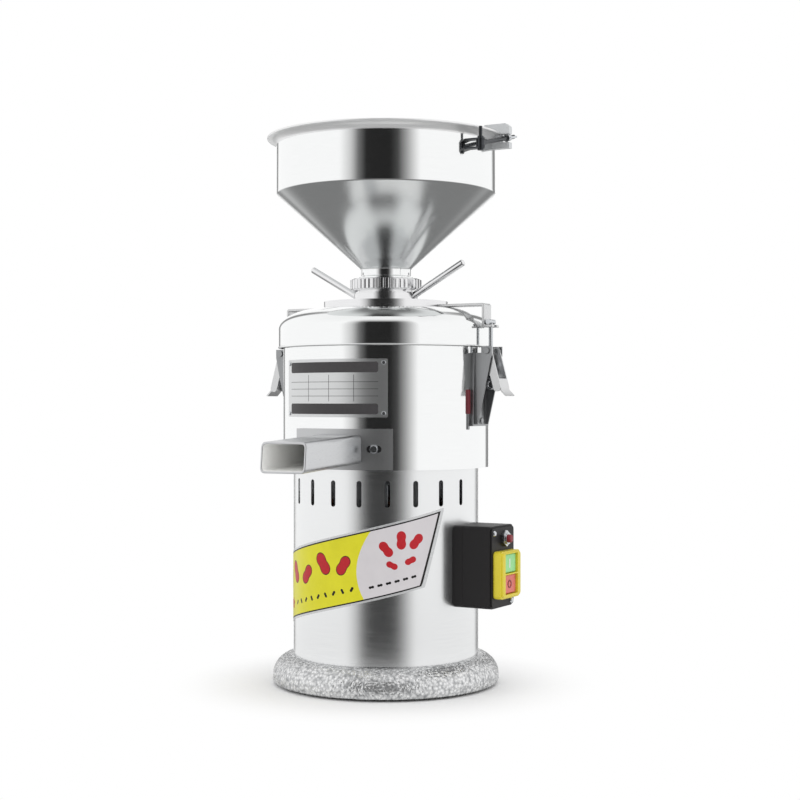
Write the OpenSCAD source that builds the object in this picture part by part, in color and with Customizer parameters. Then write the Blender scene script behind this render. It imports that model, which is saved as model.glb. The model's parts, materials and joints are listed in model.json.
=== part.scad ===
// Nut butter grinder: cast base, motor barrel, grinding chamber, latched cover,
// fineness adjuster and hopper. Millimetres, +Z up, the machine's axis is Z and z = 0
// is the table. Azimuths are in degrees from the front (-Y), positive towards +X.

/* [Base] */
// Largest radius of the cast base
base_r = 135; // [125:1:150]
// Height of the casing seat above the table
base_top = 35; // [30:1:45]
// Wall of the casting
base_wall = 7; // [5:0.5:9]
// Height of the base's rounded shoulder
bulge_h = 24.5; // [20:0.5:27]
// Gap between the base rim and the table
base_clear = 3; // [1:0.5:4]
// Radius of the bolt circle of feet and bench bolts
foot_pcd_r = 95; // [92:1:98]
// Radius of a rubber foot
foot_r = 15; // [12:1:17]
// Height of a rubber foot
foot_h = 6; // [5:0.5:9]
// Radius of the threaded bench holes
bench_hole_r = 4; // [3:0.25:5]
// Thickness of the guard plate under the motor
guard_t = 1.5; // [1:0.5:3]

/* [Motor casing] */
// Outer radius of the casing
casing_r = 110.5; // [109:0.5:114]
// Casing sheet thickness
casing_wall = 1.5; // [1:0.25:2]
// Height of the casing
casing_h = 223; // [205:1:240]
// Width of a vent slot
vent_w = 6; // [4:0.5:8]
// Length of a vent slot
vent_h = 30; // [20:1:34]
// Angle between neighbouring vent slots
vent_pitch = 16.9; // [14:0.1:18]
// Vent slots in the front group, and again in the rear group
vent_count = 8; // [4:1:8]

/* [Motor] */
// Outer radius of the stator core
stator_r = 75; // [70:1:76]
// Length of the stator core
stator_h = 85; // [70:1:95]
// Radius of the rotor
rotor_r = 42; // [36:1:44]
// Air gap between rotor and stator
air_gap = 0.6; // [0.4:0.1:1]
// Radius of the shaft in its bearings
shaft_r = 12.5; // [11:0.5:14]
// Outer radius of a bearing
bearing_r = 26; // [24:1:30]
// Width of a bearing
bearing_h = 15; // [12:1:18]
// Number of fan blades
fan_blades = 7; // [5:1:9]
// Radius of the run capacitor
capacitor_r = 12; // [9:0.5:12.5]

/* [Grinding chamber] */
// Outer radius of the drum
drum_r = 123; // [119:1:125]
// Drum wall
drum_wall = 3; // [2:0.5:4]
// Height of the drum
drum_h = 146; // [136:1:156]
// Thickness of the drum floor
floor_t = 6; // [4:0.5:8]
// Radius of the millstones
stone_r = 50; // [45:1:55]
// Thickness of each millstone
stone_h = 24; // [18:1:28]
// Gap between the stones at rest
stone_gap = 1; // [0.9:0.1:2]
// Radius of the feed hole
throat_r = 22; // [19:0.5:23]
// Furrows in each millstone
furrows = 12; // [6:1:16]
// Thickness of the sweeping blades
blade_t = 5; // [3:0.5:7]
// Height of the sweeping blades
blade_h = 20; // [14:1:24]

/* [Cover] */
// Gap between the drum and the cover's skirt
cover_gap = 2.5; // [2:0.25:4]
// Sheet thickness of the cover
cover_wall = 3; // [2:0.25:3]
// How far the skirt hangs below the drum's top edge
skirt_drop = 5.5; // [4:0.5:9]
// Height of the skirt
skirt_h = 22.5; // [19:0.5:26]
// Height of the domed shoulder
dome_h = 25; // [20:1:30]
// Radius of the flange disc
disc_r = 74.5; // [70:0.5:80]
// Thickness of the flange disc
disc_h = 8; // [6:0.5:10]

/* [Adjuster] */
// Radius of the adjuster's thread
thread_r = 32; // [31:0.5:34]
// Tip radius of the toothed ring
ring_r = 43; // [42:0.5:46]
// Height of the toothed ring
ring_h = 14; // [12:1:18]
// Teeth around the ring
ring_teeth = 44; // [30:1:52]
// Depth of a tooth
tooth_h = 2.2; // [1.5:0.1:2.6]
// Radius of the lock nut
lock_r = 38; // [37:0.5:40]
// Height of the lock nut
lock_h = 11; // [11:0.5:14]
// Radius of a lock rod
rod_r = 4; // [3:0.25:4.5]
// Length of a lock rod
rod_len = 80; // [60:1:86]
// Rise of a lock rod above level
rod_rise = 29; // [20:1:32]
// Azimuth of the first lock rod
rod_phi = 60; // [50:1:75]

/* [Hopper] */
// Outer radius of the hopper neck
neck_r = 30; // [29:0.25:30.5]
// Visible height of the neck
neck_h = 11.5; // [9:0.5:18]
// Depth of the neck's spigot in the adjuster
spigot_h = 12; // [8:1:12]
// Outer radius of the bowl
bowl_r = 131; // [128:1:134]
// Height of the cone
cone_h = 90; // [80:1:105]
// Height of the straight bowl wall
bowl_h = 57; // [48:1:70]
// How far the lip flares out beyond the bowl
flare_w = 11; // [8:0.5:13]
// Height of the flare
flare_h = 10; // [8:1:12]
// Hopper sheet thickness
hopper_wall = 1.5; // [1:0.25:2]

/* [Rim clamp] */
// Radius of the swing rod
swing_r = 2.5; // [2:0.25:3]
// Length of the swing rod beyond its pin
swing_len = 90; // [86:1:100]
// Distance of the swing rod's line from the bowl
swing_gap = 12; // [11.5:0.5:14]
// Rise of the swing rod above level
swing_rise = 13; // [9:0.5:15]
// Thickness of the rim bracket
bracket_t = 8; // [5:0.5:9]

/* [Spout] */
// Azimuth of the spout
spout_phi = -24; // [-30:1:-20]
// Outer width of the spout
spout_w = 54; // [44:1:58]
// Outer height of the spout
spout_h = 33; // [27:1:35]
// Wall of the spout
spout_wall = 2.5; // [1.5:0.25:3]
// Corner radius of the spout
spout_corner = 6; // [4:0.5:8]
// Distance of the spout's mouth from the machine's axis
spout_reach = 257; // [220:1:275]
// Fall of the spout
spout_fall = 2.3; // [0:0.1:4]
// Half of the angle that the spout flange spans
flange_half = 28; // [26:0.5:30]
// Thickness of the spout flange
flange_t = 5; // [3:0.5:7]
// Height of the spout flange
flange_h = 46; // [42:1:50]
// Thickness of the spout gasket
gasket_t = 1.2; // [0.8:0.1:2]
// Angle from the spout to each flange bolt
spout_bolt_step = 18.5; // [17.5:0.5:20]

/* [Nameplate and label] */
// Height of the nameplate
plate_h = 66; // [50:1:70]
// Angle that the nameplate spans
plate_span = 67; // [50:1:70]
// Thickness of the nameplate
plate_t = 1; // [0.5:0.1:1.5]
// Thickness of the label
label_t = 0.4; // [0.3:0.1:0.8]
// Rise of the label for each degree around the casing
label_slope = 0.465; // [0.3:0.005:0.475]
// Height of the label, measured upright
label_h = 83; // [60:1:86]

/* [Latches] */
// Azimuth of the first latch, the second is opposite
latch_phi = 62; // [58:1:64]
// Distance from a latch lever's pivot to its tip
lever_len = 44; // [40:1:50]
// Distance from a latch lever's pivot to its trunnion
lever_arm = 22; // [19:0.5:23]
// How far a closed lever's tip stands out, in degrees
lever_lean = 15; // [13:1:20]
// Radius of a latch rod
hook_r = 2.5; // [2:0.25:2.75]
// Radius of a latch pivot
latch_pin_r = 2.5; // [2:0.25:3]
// Thickness of the keeper strap
keeper_t = 3; // [2.5:0.25:3.5]
// Width of the keeper strap
keeper_w = 20; // [18:1:20]

/* [Switch box] */
// Azimuth of the switch box
switch_phi = 60; // [57:1:63]
// Width of the switch box
switch_w = 60; // [54:1:64]
// Height of the switch box
switch_h = 94; // [90:1:104]
// Height of the box's centre above the table
switch_z = 146; // [140:1:156]
// Distance of the box's front from the machine's axis
switch_front = 156; // [150:1:160]
// Depth of the back shell in front of the casing
switch_back_d = 8.5; // [7:0.5:12]
// Wall of the switch box
switch_wall = 3; // [2:0.5:4]
// Width of the bezel
bezel_w = 50; // [44:1:52]
// Height of the bezel
bezel_h = 54; // [50:1:56]
// Depth of the bezel
bezel_d = 11.4; // [9:0.2:13]
// Width of a button
button_w = 31; // [26:1:34]
// Height of a button
button_h = 21.5; // [18:0.5:22]
// Travel of a button
button_travel = 3; // [1.5:0.5:4]
// Radius of the cable gland's bore
gland_bore_r = 4.2; // [3:0.1:5]

/* [Hidden] */
$fn = 96;

// Clearances
run_gap = 0.05;                 // a turning shaft in its bore, on the radius
slip_gap = 0.2;                 // screw threads and sliding pieces, on the radius
part_gap = 0.3;                 // between neighbouring moving pieces
seat_gap = 0.05;                // a curved sheet on the curved wall that carries it
cut = 1;                        // how far a cutting body runs past a face
ring_gap = 2.2;                 // between the lock nut and the toothed ring
blade_gap = 8;                  // between the sweeping blades and the drum's wall
rod_root = 4.7;                 // a lock rod's inner end above the foot of the lock nut

// Heights
casing_top = base_top + casing_h;
floor_top = casing_top + floor_t;
drum_top = casing_top + drum_h;
skirt_bottom = drum_top - skirt_drop;
cover_r = drum_r + cover_gap + cover_wall;
shoulder_z = skirt_bottom + skirt_h;
cover_top = shoulder_z + dome_h;
disc_top = cover_top + disc_h;
lock_bottom = disc_top + part_gap;
lock_top = lock_bottom + lock_h;
ring_bottom = lock_top + ring_gap;
ring_top = ring_bottom + ring_h;
spigot_bottom = ring_top - spigot_h;
neck_top = ring_top + neck_h;
cone_top = neck_top + cone_h;
bowl_top = cone_top + bowl_h;
rim_top = bowl_top + flare_h;
lip_r = bowl_r + flare_w;
lip_bead_r = 1.6;
flare_steps = 6;

// Base and feet
bulge_r = base_r - casing_r;
bulge_z = base_top - bulge_h;
air_hole_r = 60;
deck_t = base_wall;
deck_bottom = base_top - deck_t;
register_h = 6;
register_t = 5;
register_r = casing_r - casing_wall - run_gap;
foot_boss_r = foot_r - 1;
bench_hole_top = deck_bottom;
guard_r = air_hole_r + 14;
guard_screw_r = 2;
guard_screw_at = air_hole_r + 8;

// Motor
flange_z = base_top + register_h;
shield_in = stator_r - 5;
shield_out = stator_r + 6;
stator_lift = 83;
stator_z = base_top + stator_lift;
stator_top = stator_z + stator_h;
seat_h = 4;
bearing_low_z = stator_z - 28;
bearing_high_z = casing_top - bearing_h - 2;
housing_wall = 7;
lip_t = 4;
deck_plate_t = 12;
tie_at = (shield_out + register_r - register_t) / 2;
tie_r = 3.5;
nut_h = 6;
floor_screw_at = shield_in - 10;
floor_screw_r = 3;
window_w = 34;
capacitor_h = 68;
terminal_h = 5;
fan_h = 18;
fan_plate_t = 2;
fan_blade_t = 2;
fan_drop = 22;
fan_hub_t = 6;

// Chamber
seal_r = shaft_r + 7.5;
collar_r = seal_r + 4;
collar_top = floor_top + 6;
neck_shaft_r = 10;
shaft_step_z = floor_top + 4;
carrier_plate_t = 10;
upper_stone_z = drum_top - 5 - stone_h;
lower_stone_z = upper_stone_z - stone_gap - stone_h;
carrier_top = lower_stone_z;
blade_z = floor_top + 3;
blade_reach = drum_r - drum_wall - blade_gap;
nut_shaft_r = 8;
furrow_w = 3;
furrow_d = 1.5;
holder_t = 5;
holder_bottom = upper_stone_z + stone_h;
holder_top = holder_bottom + holder_t;
holder_wall = 4;
tube_r = throat_r + 5;
tube_top = ring_bottom - 12;
key_at = tube_r + 12;
key_r = 3;
stone_drop = 0.5;
stone_rise = 1;
hub_bottom = holder_top + stone_rise + 3;
hub_r = thread_r + 12;
sleeve_r = thread_r - slip_gap;

// Cover
seal_t = 2.5;
ledge_z = drum_top + seal_t;
ledge_t = 3.5;
bead_r = 1;
dome_steps = 14;

// Spout
spout_root_z = casing_top + 24;
mouth_lip = 5;
flange_z0 = casing_top + 0.5;
gasket_r = drum_r + seat_gap + gasket_t;
flange_r = gasket_r + flange_t;
spout_bolt_r = 3;
spout_bolt_head_r = 5.5;
slot_len = 17;
slot_w = 8;

// Nameplate and label
plate_z = casing_top + 59.5;
plate_phi = -65.5;
rivet_r = 2;
label_phi0 = -105;
label_phi1 = 37;
label_lean = 13;
label_rise = 161.6;               // of its upper edge above the base, at azimuth 0
label_top_z = base_top + label_rise;
label_steps = 44;
label_end_steps = 5;
label_tip = 3;                    // height left at the label's upper right corner

// Latches, in a frame whose x is the distance from the machine's axis
latch_plate_t = 2.5;
latch_rod_x = cover_r + 9.5;
dead_angle = 5;
pivot_x = latch_rod_x + lever_arm * sin(dead_angle);
pivot_z = skirt_bottom - 4.6;
trunnion_x = latch_rod_x;
trunnion_z = pivot_z - lever_arm * cos(dead_angle);
tip_x = pivot_x + lever_len * sin(lever_lean);
tip_z = pivot_z - lever_len * cos(lever_lean);
cheek_y = 11.5;
cheek_t = 2;
latch_wall_y = 14.5;
latch_wall_t = 2;
web_root = lever_arm + 12.5;      // the lever's web starts clear of the rod when it is open
latch_len = 87;
latch_bottom = pivot_z - latch_len;
keeper_lip_top = shoulder_z + 3;
keeper_drop_x = latch_rod_x - 4 - keeper_t;
head_r = 3;
head_len = 16;
head_z = keeper_lip_top + 0.4 + head_r;
strip_y = -24.5;
strip_h = 48;
strip_w = 5;

// Rim clamp, in a frame whose x is the rod's distance from the axis and y runs along it
clamp_phi = 60.5;
swing_dist = bowl_r + swing_gap;
pin_y = -33;
pin_drop = 21.5;
pin_z = rim_top - pin_drop;
pin_r = 2;
pin_up = 19.5;
lug_t = 2;
bracket_y = 29;
bracket_rise = 10;
bracket_top = rim_top + bracket_rise;
bracket_ear = 8;
eye_r = 5;
eye_h = 7.4;
nut_r = 4.4;

// Switch box
box_corner = 6;
bezel_z = switch_z - 8.5;
start_z = bezel_z + 12.6;
stop_z = bezel_z - 11.2;
reset_z = switch_z + 32;
reset_y = 3;
reset_r = 4.7;
reset_nut_r = 9.5;
reset_nut_h = 4;
reset_tube = 6;
button_gap = 0.4;
button_root = switch_front - switch_wall - 8;
button_face = switch_front + bezel_d - 2.5;
gland_z = base_top + 30;
gland_shank_r = 8;

// Radius of the flared lip's outside at height z above the bowl wall
function flare_r(z) = bowl_r + (lip_r - bowl_r) * pow(z / flare_h, 2);

// Points of an ellipse's arc around (cx, cz)
function arc_points(cx, cz, rx, rz, a0, a1, n) =
    [for (i = [0:n]) let (a = a0 + (a1 - a0) * i / n) [cx + rx * cos(a), cz + rz * sin(a)]];

// Turns a piece built along +X to an azimuth
module at_azimuth(phi) {
    rotate([0, 0, phi - 90]) children();
}

// A ring about the Z axis
module ring(r_in, r_out, z0, z1) {
    rotate_extrude() translate([r_in, z0]) square([r_out - r_in, z1 - z0]);
}

// A part of a ring, between two azimuths
module ring_sector(r_in, r_out, z0, z1, phi0, phi1) {
    at_azimuth(phi0) rotate_extrude(angle = phi1 - phi0)
        translate([r_in, z0]) square([r_out - r_in, z1 - z0]);
}

// Extrudes an outline drawn in (y, z) along +X from x0 to x1
module along_x(x0, x1) {
    translate([x0, 0, 0]) rotate([90, 0, 90]) linear_extrude(x1 - x0) children();
}

// Extrudes an outline drawn in (x, z) along Y, centred on y
module across_y(y, t) {
    translate([0, y, 0]) rotate([90, 0, 0]) linear_extrude(t, center = true) children();
}

// A rectangle with round corners, centred
module round_rect(w, h, r) {
    square([w - 2 * r, h], center = true);
    square([w, h - 2 * r], center = true);
    for (sx = [-1, 1], sy = [-1, 1])
        translate([sx * (w / 2 - r), sy * (h / 2 - r)]) circle(r);
}

// A slot with round ends, centred, its length along y
module slot_outline(w, h) {
    square([w, h - w], center = true);
    for (s = [-1, 1]) translate([0, s * (h - w) / 2]) circle(w / 2);
}

// A bar with round ends from a to b
module link_outline(a, b, r) {
    len = norm(b - a);
    translate(a) rotate(atan2(b[1] - a[1], b[0] - a[0])) {
        translate([0, -r]) square([len, 2 * r]);
        circle(r);
        translate([len, 0]) circle(r);
    }
}

// A hexagonal nut or head, measured across its corners
module hexagon(r, h) {
    cylinder(r = r, h = h, $fn = 6);
}

// ---- Base ----

module base() {
    color("silver") difference() {
        union() {
            rotate_extrude() {
                difference() {
                    translate([casing_r, bulge_z]) scale([bulge_r, bulge_h]) circle(1);
                    translate([casing_r, bulge_z])
                        scale([bulge_r - base_wall, bulge_h - base_wall]) circle(1);
                    translate([casing_r - bulge_r - cut, bulge_z - bulge_h - cut])
                        square([2 * bulge_r + 2 * cut, bulge_h + cut]);
                    translate([casing_r - bulge_r - cut, bulge_z - cut])
                        square([bulge_r + cut, bulge_h + 2 * cut]);
                }
                polygon([
                    [base_r - base_wall, base_clear], [base_r - 2, base_clear],
                    [base_r, base_clear + 4], [base_r, bulge_z], [base_r - base_wall, bulge_z]
                ]);
                translate([air_hole_r, deck_bottom]) square([casing_r - air_hole_r, deck_t]);
                translate([register_r - register_t, base_top]) square([register_t, register_h]);
            }
            for (i = [0:3]) at_azimuth(45 + 90 * i)
                translate([foot_pcd_r, 0, foot_h]) cylinder(r = foot_boss_r, h = deck_bottom - foot_h + cut);
            for (i = [0:3]) at_azimuth(45 + 90 * i)
                translate([foot_pcd_r, -2.5, base_top - deck_t - 12])
                    cube([base_r - base_wall - foot_pcd_r - 5, 5, 12 + cut]);
        }
        for (i = [0:3]) at_azimuth(45 + 90 * i) translate([foot_pcd_r, 0, 0])
            cylinder(r = bench_hole_r, h = bench_hole_top);
        for (i = [0:3]) at_azimuth(90 * i) translate([guard_screw_at, 0, deck_bottom - cut])
            cylinder(r = guard_screw_r, h = 5 + cut);
    }
}

module feet() {
    color("dimgray") for (i = [0:3]) at_azimuth(45 + 90 * i) translate([foot_pcd_r, 0, 0])
        rotate_extrude() polygon([
            [bench_hole_r, 0], [foot_r - 1.5, 0], [foot_r, 1.5], [foot_boss_r, foot_h],
            [bench_hole_r, foot_h]
        ]);
}

module guard_plate() {
    color("silver") difference() {
        translate([0, 0, deck_bottom - guard_t]) cylinder(r = guard_r, h = guard_t);
        for (row = [1:3], i = [0:6 * row - 1])
            rotate([0, 0, 360 * i / (6 * row)]) translate([15 * row, 0, deck_bottom - guard_t - cut])
                cylinder(r = 4, h = guard_t + 2 * cut);
        for (i = [0:3]) at_azimuth(90 * i)
            translate([guard_screw_at, 0, deck_bottom - guard_t - cut])
                cylinder(r = guard_screw_r, h = guard_t + 2 * cut);
    }
}

module guard_screws() {
    color("gainsboro") for (i = [0:3]) at_azimuth(90 * i) translate([guard_screw_at, 0, 0]) {
        translate([0, 0, deck_bottom - guard_t - 2.4]) cylinder(r1 = 3, r2 = 4, h = 2.4);
        translate([0, 0, deck_bottom - guard_t]) cylinder(r = guard_screw_r, h = guard_t + 5);
    }
}

// ---- Motor casing and motor ----

module vent_slots() {
    vent_mid = casing_top - 27.5;
    for (group = [0, 180], i = [0:vent_count - 1])
        at_azimuth(group - 7.1 + vent_pitch * (i - (vent_count - 1) / 2))
            along_x(casing_r - casing_wall - cut, casing_r + cut)
                translate([0, vent_mid]) slot_outline(vent_w, vent_h);
}

module motor_casing() {
    color("gainsboro") difference() {
        ring(casing_r - casing_wall, casing_r, base_top, casing_top);
        vent_slots();
        at_azimuth(180) along_x(casing_r - casing_wall - cut, casing_r + cut)
            translate([0, gland_z]) circle(gland_shank_r);
    }
}

module cable_gland() {
    color("#222222") at_azimuth(180) translate([0, 0, gland_z]) rotate([0, 90, 0]) difference() {
        union() {
            translate([0, 0, casing_r - casing_wall - 8]) cylinder(r = gland_shank_r - run_gap, h = 14);
            translate([0, 0, casing_r + 0.3]) hexagon(12, 6);
            translate([0, 0, casing_r + 6.2]) cylinder(r = 9.5, h = 8);
            translate([0, 0, casing_r + 14.2]) cylinder(r1 = 9.5, r2 = 6.5, h = 6);
            translate([0, 0, casing_r - casing_wall - 5.5]) hexagon(11, 5);
        }
        translate([0, 0, casing_r - casing_wall - 9]) cylinder(r = gland_bore_r, h = 40);
    }
}

module shield_windows(z0, z1) {
    for (i = [0:5]) rotate([0, 0, 60 * i + 30])
        translate([shield_in - 3 * cut, -window_w / 2, z0])
            cube([shield_out - shield_in + 6 * cut, window_w, z1 - z0]);
}

module lower_shield() {
    color("slategray") difference() {
        union() {
            ring(shield_in, register_r - register_t - part_gap, base_top, flange_z);
            ring(shield_in, shield_out, base_top, stator_z);
            ring(stator_r, shield_out, stator_z, stator_z + seat_h);
            ring(bearing_r, shield_in + cut, bearing_low_z + 4, bearing_low_z + 10);
            ring(bearing_r, bearing_r + housing_wall, bearing_low_z, bearing_low_z + bearing_h);
            ring(shaft_r + 3, bearing_r + housing_wall, bearing_low_z - lip_t, bearing_low_z);
        }
        shield_windows(flange_z + 12, bearing_low_z - 6);
        for (i = [0:5]) rotate([0, 0, 60 * i]) translate([(bearing_r + shield_in) / 2 + 3, 0, bearing_low_z])
            cylinder(r = 9, h = bearing_h);
        for (i = [0:3]) at_azimuth(90 * i) translate([tie_at, 0, base_top - cut])
            cylinder(r = tie_r, h = register_h + 2 * cut);
    }
}

module stator() {
    color("dimgray") ring(rotor_r + air_gap, stator_r, stator_z, stator_top);
}

// One end turn of the winding, a ring with a rounded section
module end_turn(z0, z1) {
    rotate_extrude() translate([(rotor_r + stator_r) / 2, (z0 + z1) / 2])
        round_rect(18, z1 - z0, 4);
}

module windings() {
    color("peru") {
        end_turn(stator_z - 15, stator_z);
        end_turn(stator_top, stator_top + 17);
    }
}

module upper_shield() {
    deck_z = casing_top - deck_plate_t;
    color("slategray") difference() {
        union() {
            ring(bearing_r, casing_r - casing_wall - part_gap, deck_z, casing_top);
            ring(shield_in, shield_out, stator_top, deck_z + cut);
            ring(stator_r, shield_out, stator_top - seat_h, stator_top);
            ring(bearing_r, bearing_r + housing_wall, bearing_high_z - lip_t, casing_top);
            ring(shaft_r + 3, bearing_r + cut, bearing_high_z - lip_t, bearing_high_z);
        }
        shield_windows(stator_top + 8, deck_z - 4);
        for (i = [0:3]) at_azimuth(90 * i) translate([tie_at, 0, deck_z - cut])
            cylinder(r = tie_r, h = deck_plate_t + 2 * cut);
        for (i = [0:3]) at_azimuth(90 * i) translate([floor_screw_at, 0, deck_z - cut])
            cylinder(r = floor_screw_r, h = deck_plate_t + 2 * cut);
    }
}

module tie_rods() {
    color("silver") for (i = [0:3]) at_azimuth(90 * i) translate([tie_at, 0, 0]) {
        translate([0, 0, base_top]) cylinder(r = tie_r, h = casing_h);
        translate([0, 0, flange_z]) hexagon(6.5, nut_h);
        translate([0, 0, casing_top - deck_plate_t - nut_h]) hexagon(6.5, nut_h);
    }
}

module bearings() {
    color("lightsteelblue") {
        ring(shaft_r + run_gap, bearing_r, bearing_low_z, bearing_low_z + bearing_h);
        ring(shaft_r + run_gap, bearing_r, bearing_high_z, bearing_high_z + bearing_h);
    }
}

module capacitor() {
    color("lightgray") at_azimuth(135)
        translate([casing_r - casing_wall - capacitor_r - part_gap, 0, stator_z + 6]) {
            cylinder(r = capacitor_r, h = capacitor_h);
            translate([0, 0, capacitor_h]) cylinder(r = capacitor_r - 3, h = terminal_h);
        }
}

// ---- Grinding chamber ----

// Turns a piece built along +X about the spout's root, into the spout's place
module at_spout() {
    at_azimuth(spout_phi) translate([drum_r, 0, spout_root_z]) rotate([0, spout_fall, 0])
        translate([-drum_r, 0, 0]) children();
}

module spout_bore(x0) {
    at_spout() along_x(x0, spout_reach + 4 * mouth_lip)
        round_rect(spout_w - 2 * spout_wall, spout_h - 2 * spout_wall, spout_corner - spout_wall + 1);
}

module spout_bolt_holes(r, x0, x1) {
    for (s = [-1, 1]) at_azimuth(spout_phi + s * spout_bolt_step)
        along_x(x0, x1) translate([0, spout_root_z]) circle(r);
}

module chamber() {
    color("gainsboro") difference() {
        union() {
            ring(drum_r - drum_wall, drum_r, casing_top, drum_top);
            ring(seal_r, drum_r - drum_wall + cut, casing_top, floor_top);
            ring(seal_r, collar_r, casing_top, collar_top);
        }
        spout_bore(drum_r - 3 * drum_wall);
        spout_bolt_holes(spout_bolt_r, drum_r - drum_wall - 2 * cut, drum_r + cut);
        for (i = [0:3]) at_azimuth(90 * i) translate([floor_screw_at, 0, casing_top - cut]) {
            cylinder(r = floor_screw_r, h = floor_t + 2 * cut);
            translate([0, 0, cut + floor_t - 3]) cylinder(r = 5.5, h = 3 + cut);
        }
    }
}

module floor_screws() {
    color("silver") for (i = [0:3]) at_azimuth(90 * i) translate([floor_screw_at, 0, 0]) {
        translate([0, 0, casing_top - deck_plate_t]) cylinder(r = floor_screw_r, h = deck_plate_t + floor_t - 3);
        translate([0, 0, floor_top - 3]) cylinder(r = 5.5, h = 3);
    }
}

module shaft_seal() {
    color("saddlebrown") ring(shaft_r + run_gap, seal_r, casing_top, collar_top - 3);
}

module shaft() {
    color("silver") {
        translate([0, 0, bearing_low_z - 30]) cylinder(r = shaft_r, h = shaft_step_z - bearing_low_z + 30);
        translate([0, 0, shaft_step_z]) cylinder(r = neck_shaft_r, h = carrier_top - shaft_step_z);
        translate([0, 0, carrier_top]) cylinder(r = nut_shaft_r, h = stone_h + 9);
    }
}

module rotor() {
    color("gray") {
        ring(shaft_r, rotor_r, stator_z + 2, stator_top - 2);
    }
}

module fan() {
    fan_z = bearing_low_z - lip_t - fan_drop;
    fan_r = shield_in - 8;
    color("dimgray") {
        ring(shaft_r, shaft_r + fan_hub_t, fan_z, fan_z + fan_h);
        ring(shaft_r, fan_r, fan_z + fan_h - fan_plate_t, fan_z + fan_h);
        for (i = [0:fan_blades - 1]) rotate([0, 0, 360 * i / fan_blades])
            translate([shaft_r + fan_hub_t - 1, -fan_blade_t / 2, fan_z])
                cube([fan_r - shaft_r - fan_hub_t, fan_blade_t, fan_h - 1]);
    }
}

// The hub that carries the lower stone, its skirt over the seal and its sweeping blades
module stone_carrier() {
    hub_out = neck_shaft_r + 8;
    skirt_in = collar_r + 3;
    skirt_out = skirt_in + 4;
    color("silver") {
        rotate_extrude() polygon([
            [neck_shaft_r, collar_top + 3], [skirt_in, collar_top + 3], [skirt_in, blade_z],
            [skirt_out, blade_z], [skirt_out, collar_top + 7], [hub_out, collar_top + 15],
            [hub_out, carrier_top - carrier_plate_t - 14], [stone_r - 4, carrier_top - carrier_plate_t],
            [stone_r - 4, carrier_top], [neck_shaft_r, carrier_top]
        ]);
        for (i = [0, 1]) rotate([0, 0, 180 * i]) translate([skirt_in + 2, -blade_t / 2, blade_z])
            cube([blade_reach - skirt_in - 2, blade_t, blade_h]);
    }
}

// Straight furrows that run off the centre line, as dressed in a millstone
module furrow_cuts(z) {
    for (i = [0:furrows - 1]) rotate([0, 0, 360 * i / furrows])
        translate([throat_r - 6, 9, z]) cube([stone_r, furrow_w, furrow_d + cut]);
}

module lower_stone() {
    color("lightgray") difference() {
        ring(nut_shaft_r, stone_r, lower_stone_z, lower_stone_z + stone_h);
        furrow_cuts(lower_stone_z + stone_h - furrow_d);
    }
}

module shaft_nut() {
    nut_z = lower_stone_z + stone_h;
    color("silver") difference() {
        union() {
            translate([0, 0, nut_z]) cylinder(r = 12, h = 2.5);
            translate([0, 0, nut_z + 2.5]) hexagon(11, 8);
        }
        translate([0, 0, nut_z - cut]) cylinder(r = nut_shaft_r, h = 9 + cut);
    }
}

module upper_stone() {
    color("lightgray") difference() {
        ring(throat_r, stone_r, upper_stone_z, holder_bottom);
        translate([0, 0, upper_stone_z - cut]) cylinder(r1 = throat_r + 9, r2 = throat_r, h = 9);
        translate([0, 0, -cut]) furrow_cuts(upper_stone_z);
    }
}

// The plate and threaded tube that carry the upper stone; two keys stop it turning
module stone_holder() {
    color("silver") difference() {
        union() {
            ring(throat_r, stone_r + holder_wall, holder_bottom, holder_top);
            ring(stone_r, stone_r + holder_wall, holder_bottom - 12, holder_bottom + cut);
            ring(throat_r, tube_r, holder_top - cut, tube_top);
        }
        for (s = [-1, 1]) translate([s * key_at, 0, holder_bottom - cut])
            cylinder(r = key_r + part_gap, h = holder_t + 2 * cut);
    }
}

// ---- Cover and adjuster ----

module cover() {
    inner_r = cover_r - cover_wall;
    inner_dome = dome_h - cover_wall;
    centre_r = disc_r;
    color("gainsboro") rotate_extrude() {
        polygon(concat(
            [[cover_r, skirt_bottom], [cover_r, shoulder_z]],
            arc_points(centre_r, shoulder_z, cover_r - centre_r, dome_h, 90 / dome_steps, 90, dome_steps - 1),
            [[hub_r + run_gap, cover_top], [hub_r + run_gap, cover_top - cover_wall]],
            arc_points(centre_r, shoulder_z, inner_r - centre_r, inner_dome, 90, 0, dome_steps),
            [[inner_r, skirt_bottom]]
        ));
        translate([drum_r - drum_wall - 4, ledge_z]) square([inner_r - drum_r + drum_wall + 4 + cut, ledge_t]);
        translate([drum_r - drum_wall - 4, drum_top - 4]) square([3.5, ledge_z - drum_top + 4 + cut]);
        translate([cover_r, skirt_bottom + bead_r]) circle(bead_r);
    }
}

module cover_seal() {
    color("ivory") ring(drum_r - drum_wall - 0.3, drum_r + 1, drum_top, ledge_z);
}

module threaded_hub() {
    color("gainsboro") {
        difference() {
            union() {
                ring(thread_r, disc_r, cover_top, disc_top);
                ring(thread_r, hub_r, hub_bottom, disc_top);
            }
            for (side = [0, 180]) at_azimuth(latch_phi + side)
                translate([disc_r - 18, -keeper_w / 2 - run_gap, cover_top - cut])
                    cube([18 + cut, keeper_w + 2 * run_gap, keeper_t + run_gap + cut]);
        }
        for (s = [-1, 1]) translate([s * key_at, 0, holder_bottom + stone_rise + part_gap])
            cylinder(r = key_r, h = hub_bottom - holder_bottom - stone_rise - part_gap + cut);
    }
}

// The toothed outline of the adjuster's ring
function teeth_points(r_tip, r_root, n) = [
    for (i = [0:n - 1], k = [[0, r_root], [0.22, r_tip], [0.58, r_tip], [0.8, r_root]])
        let (a = 360 * (i + k[0]) / n) [k[1] * cos(a), k[1] * sin(a)]
];

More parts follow.
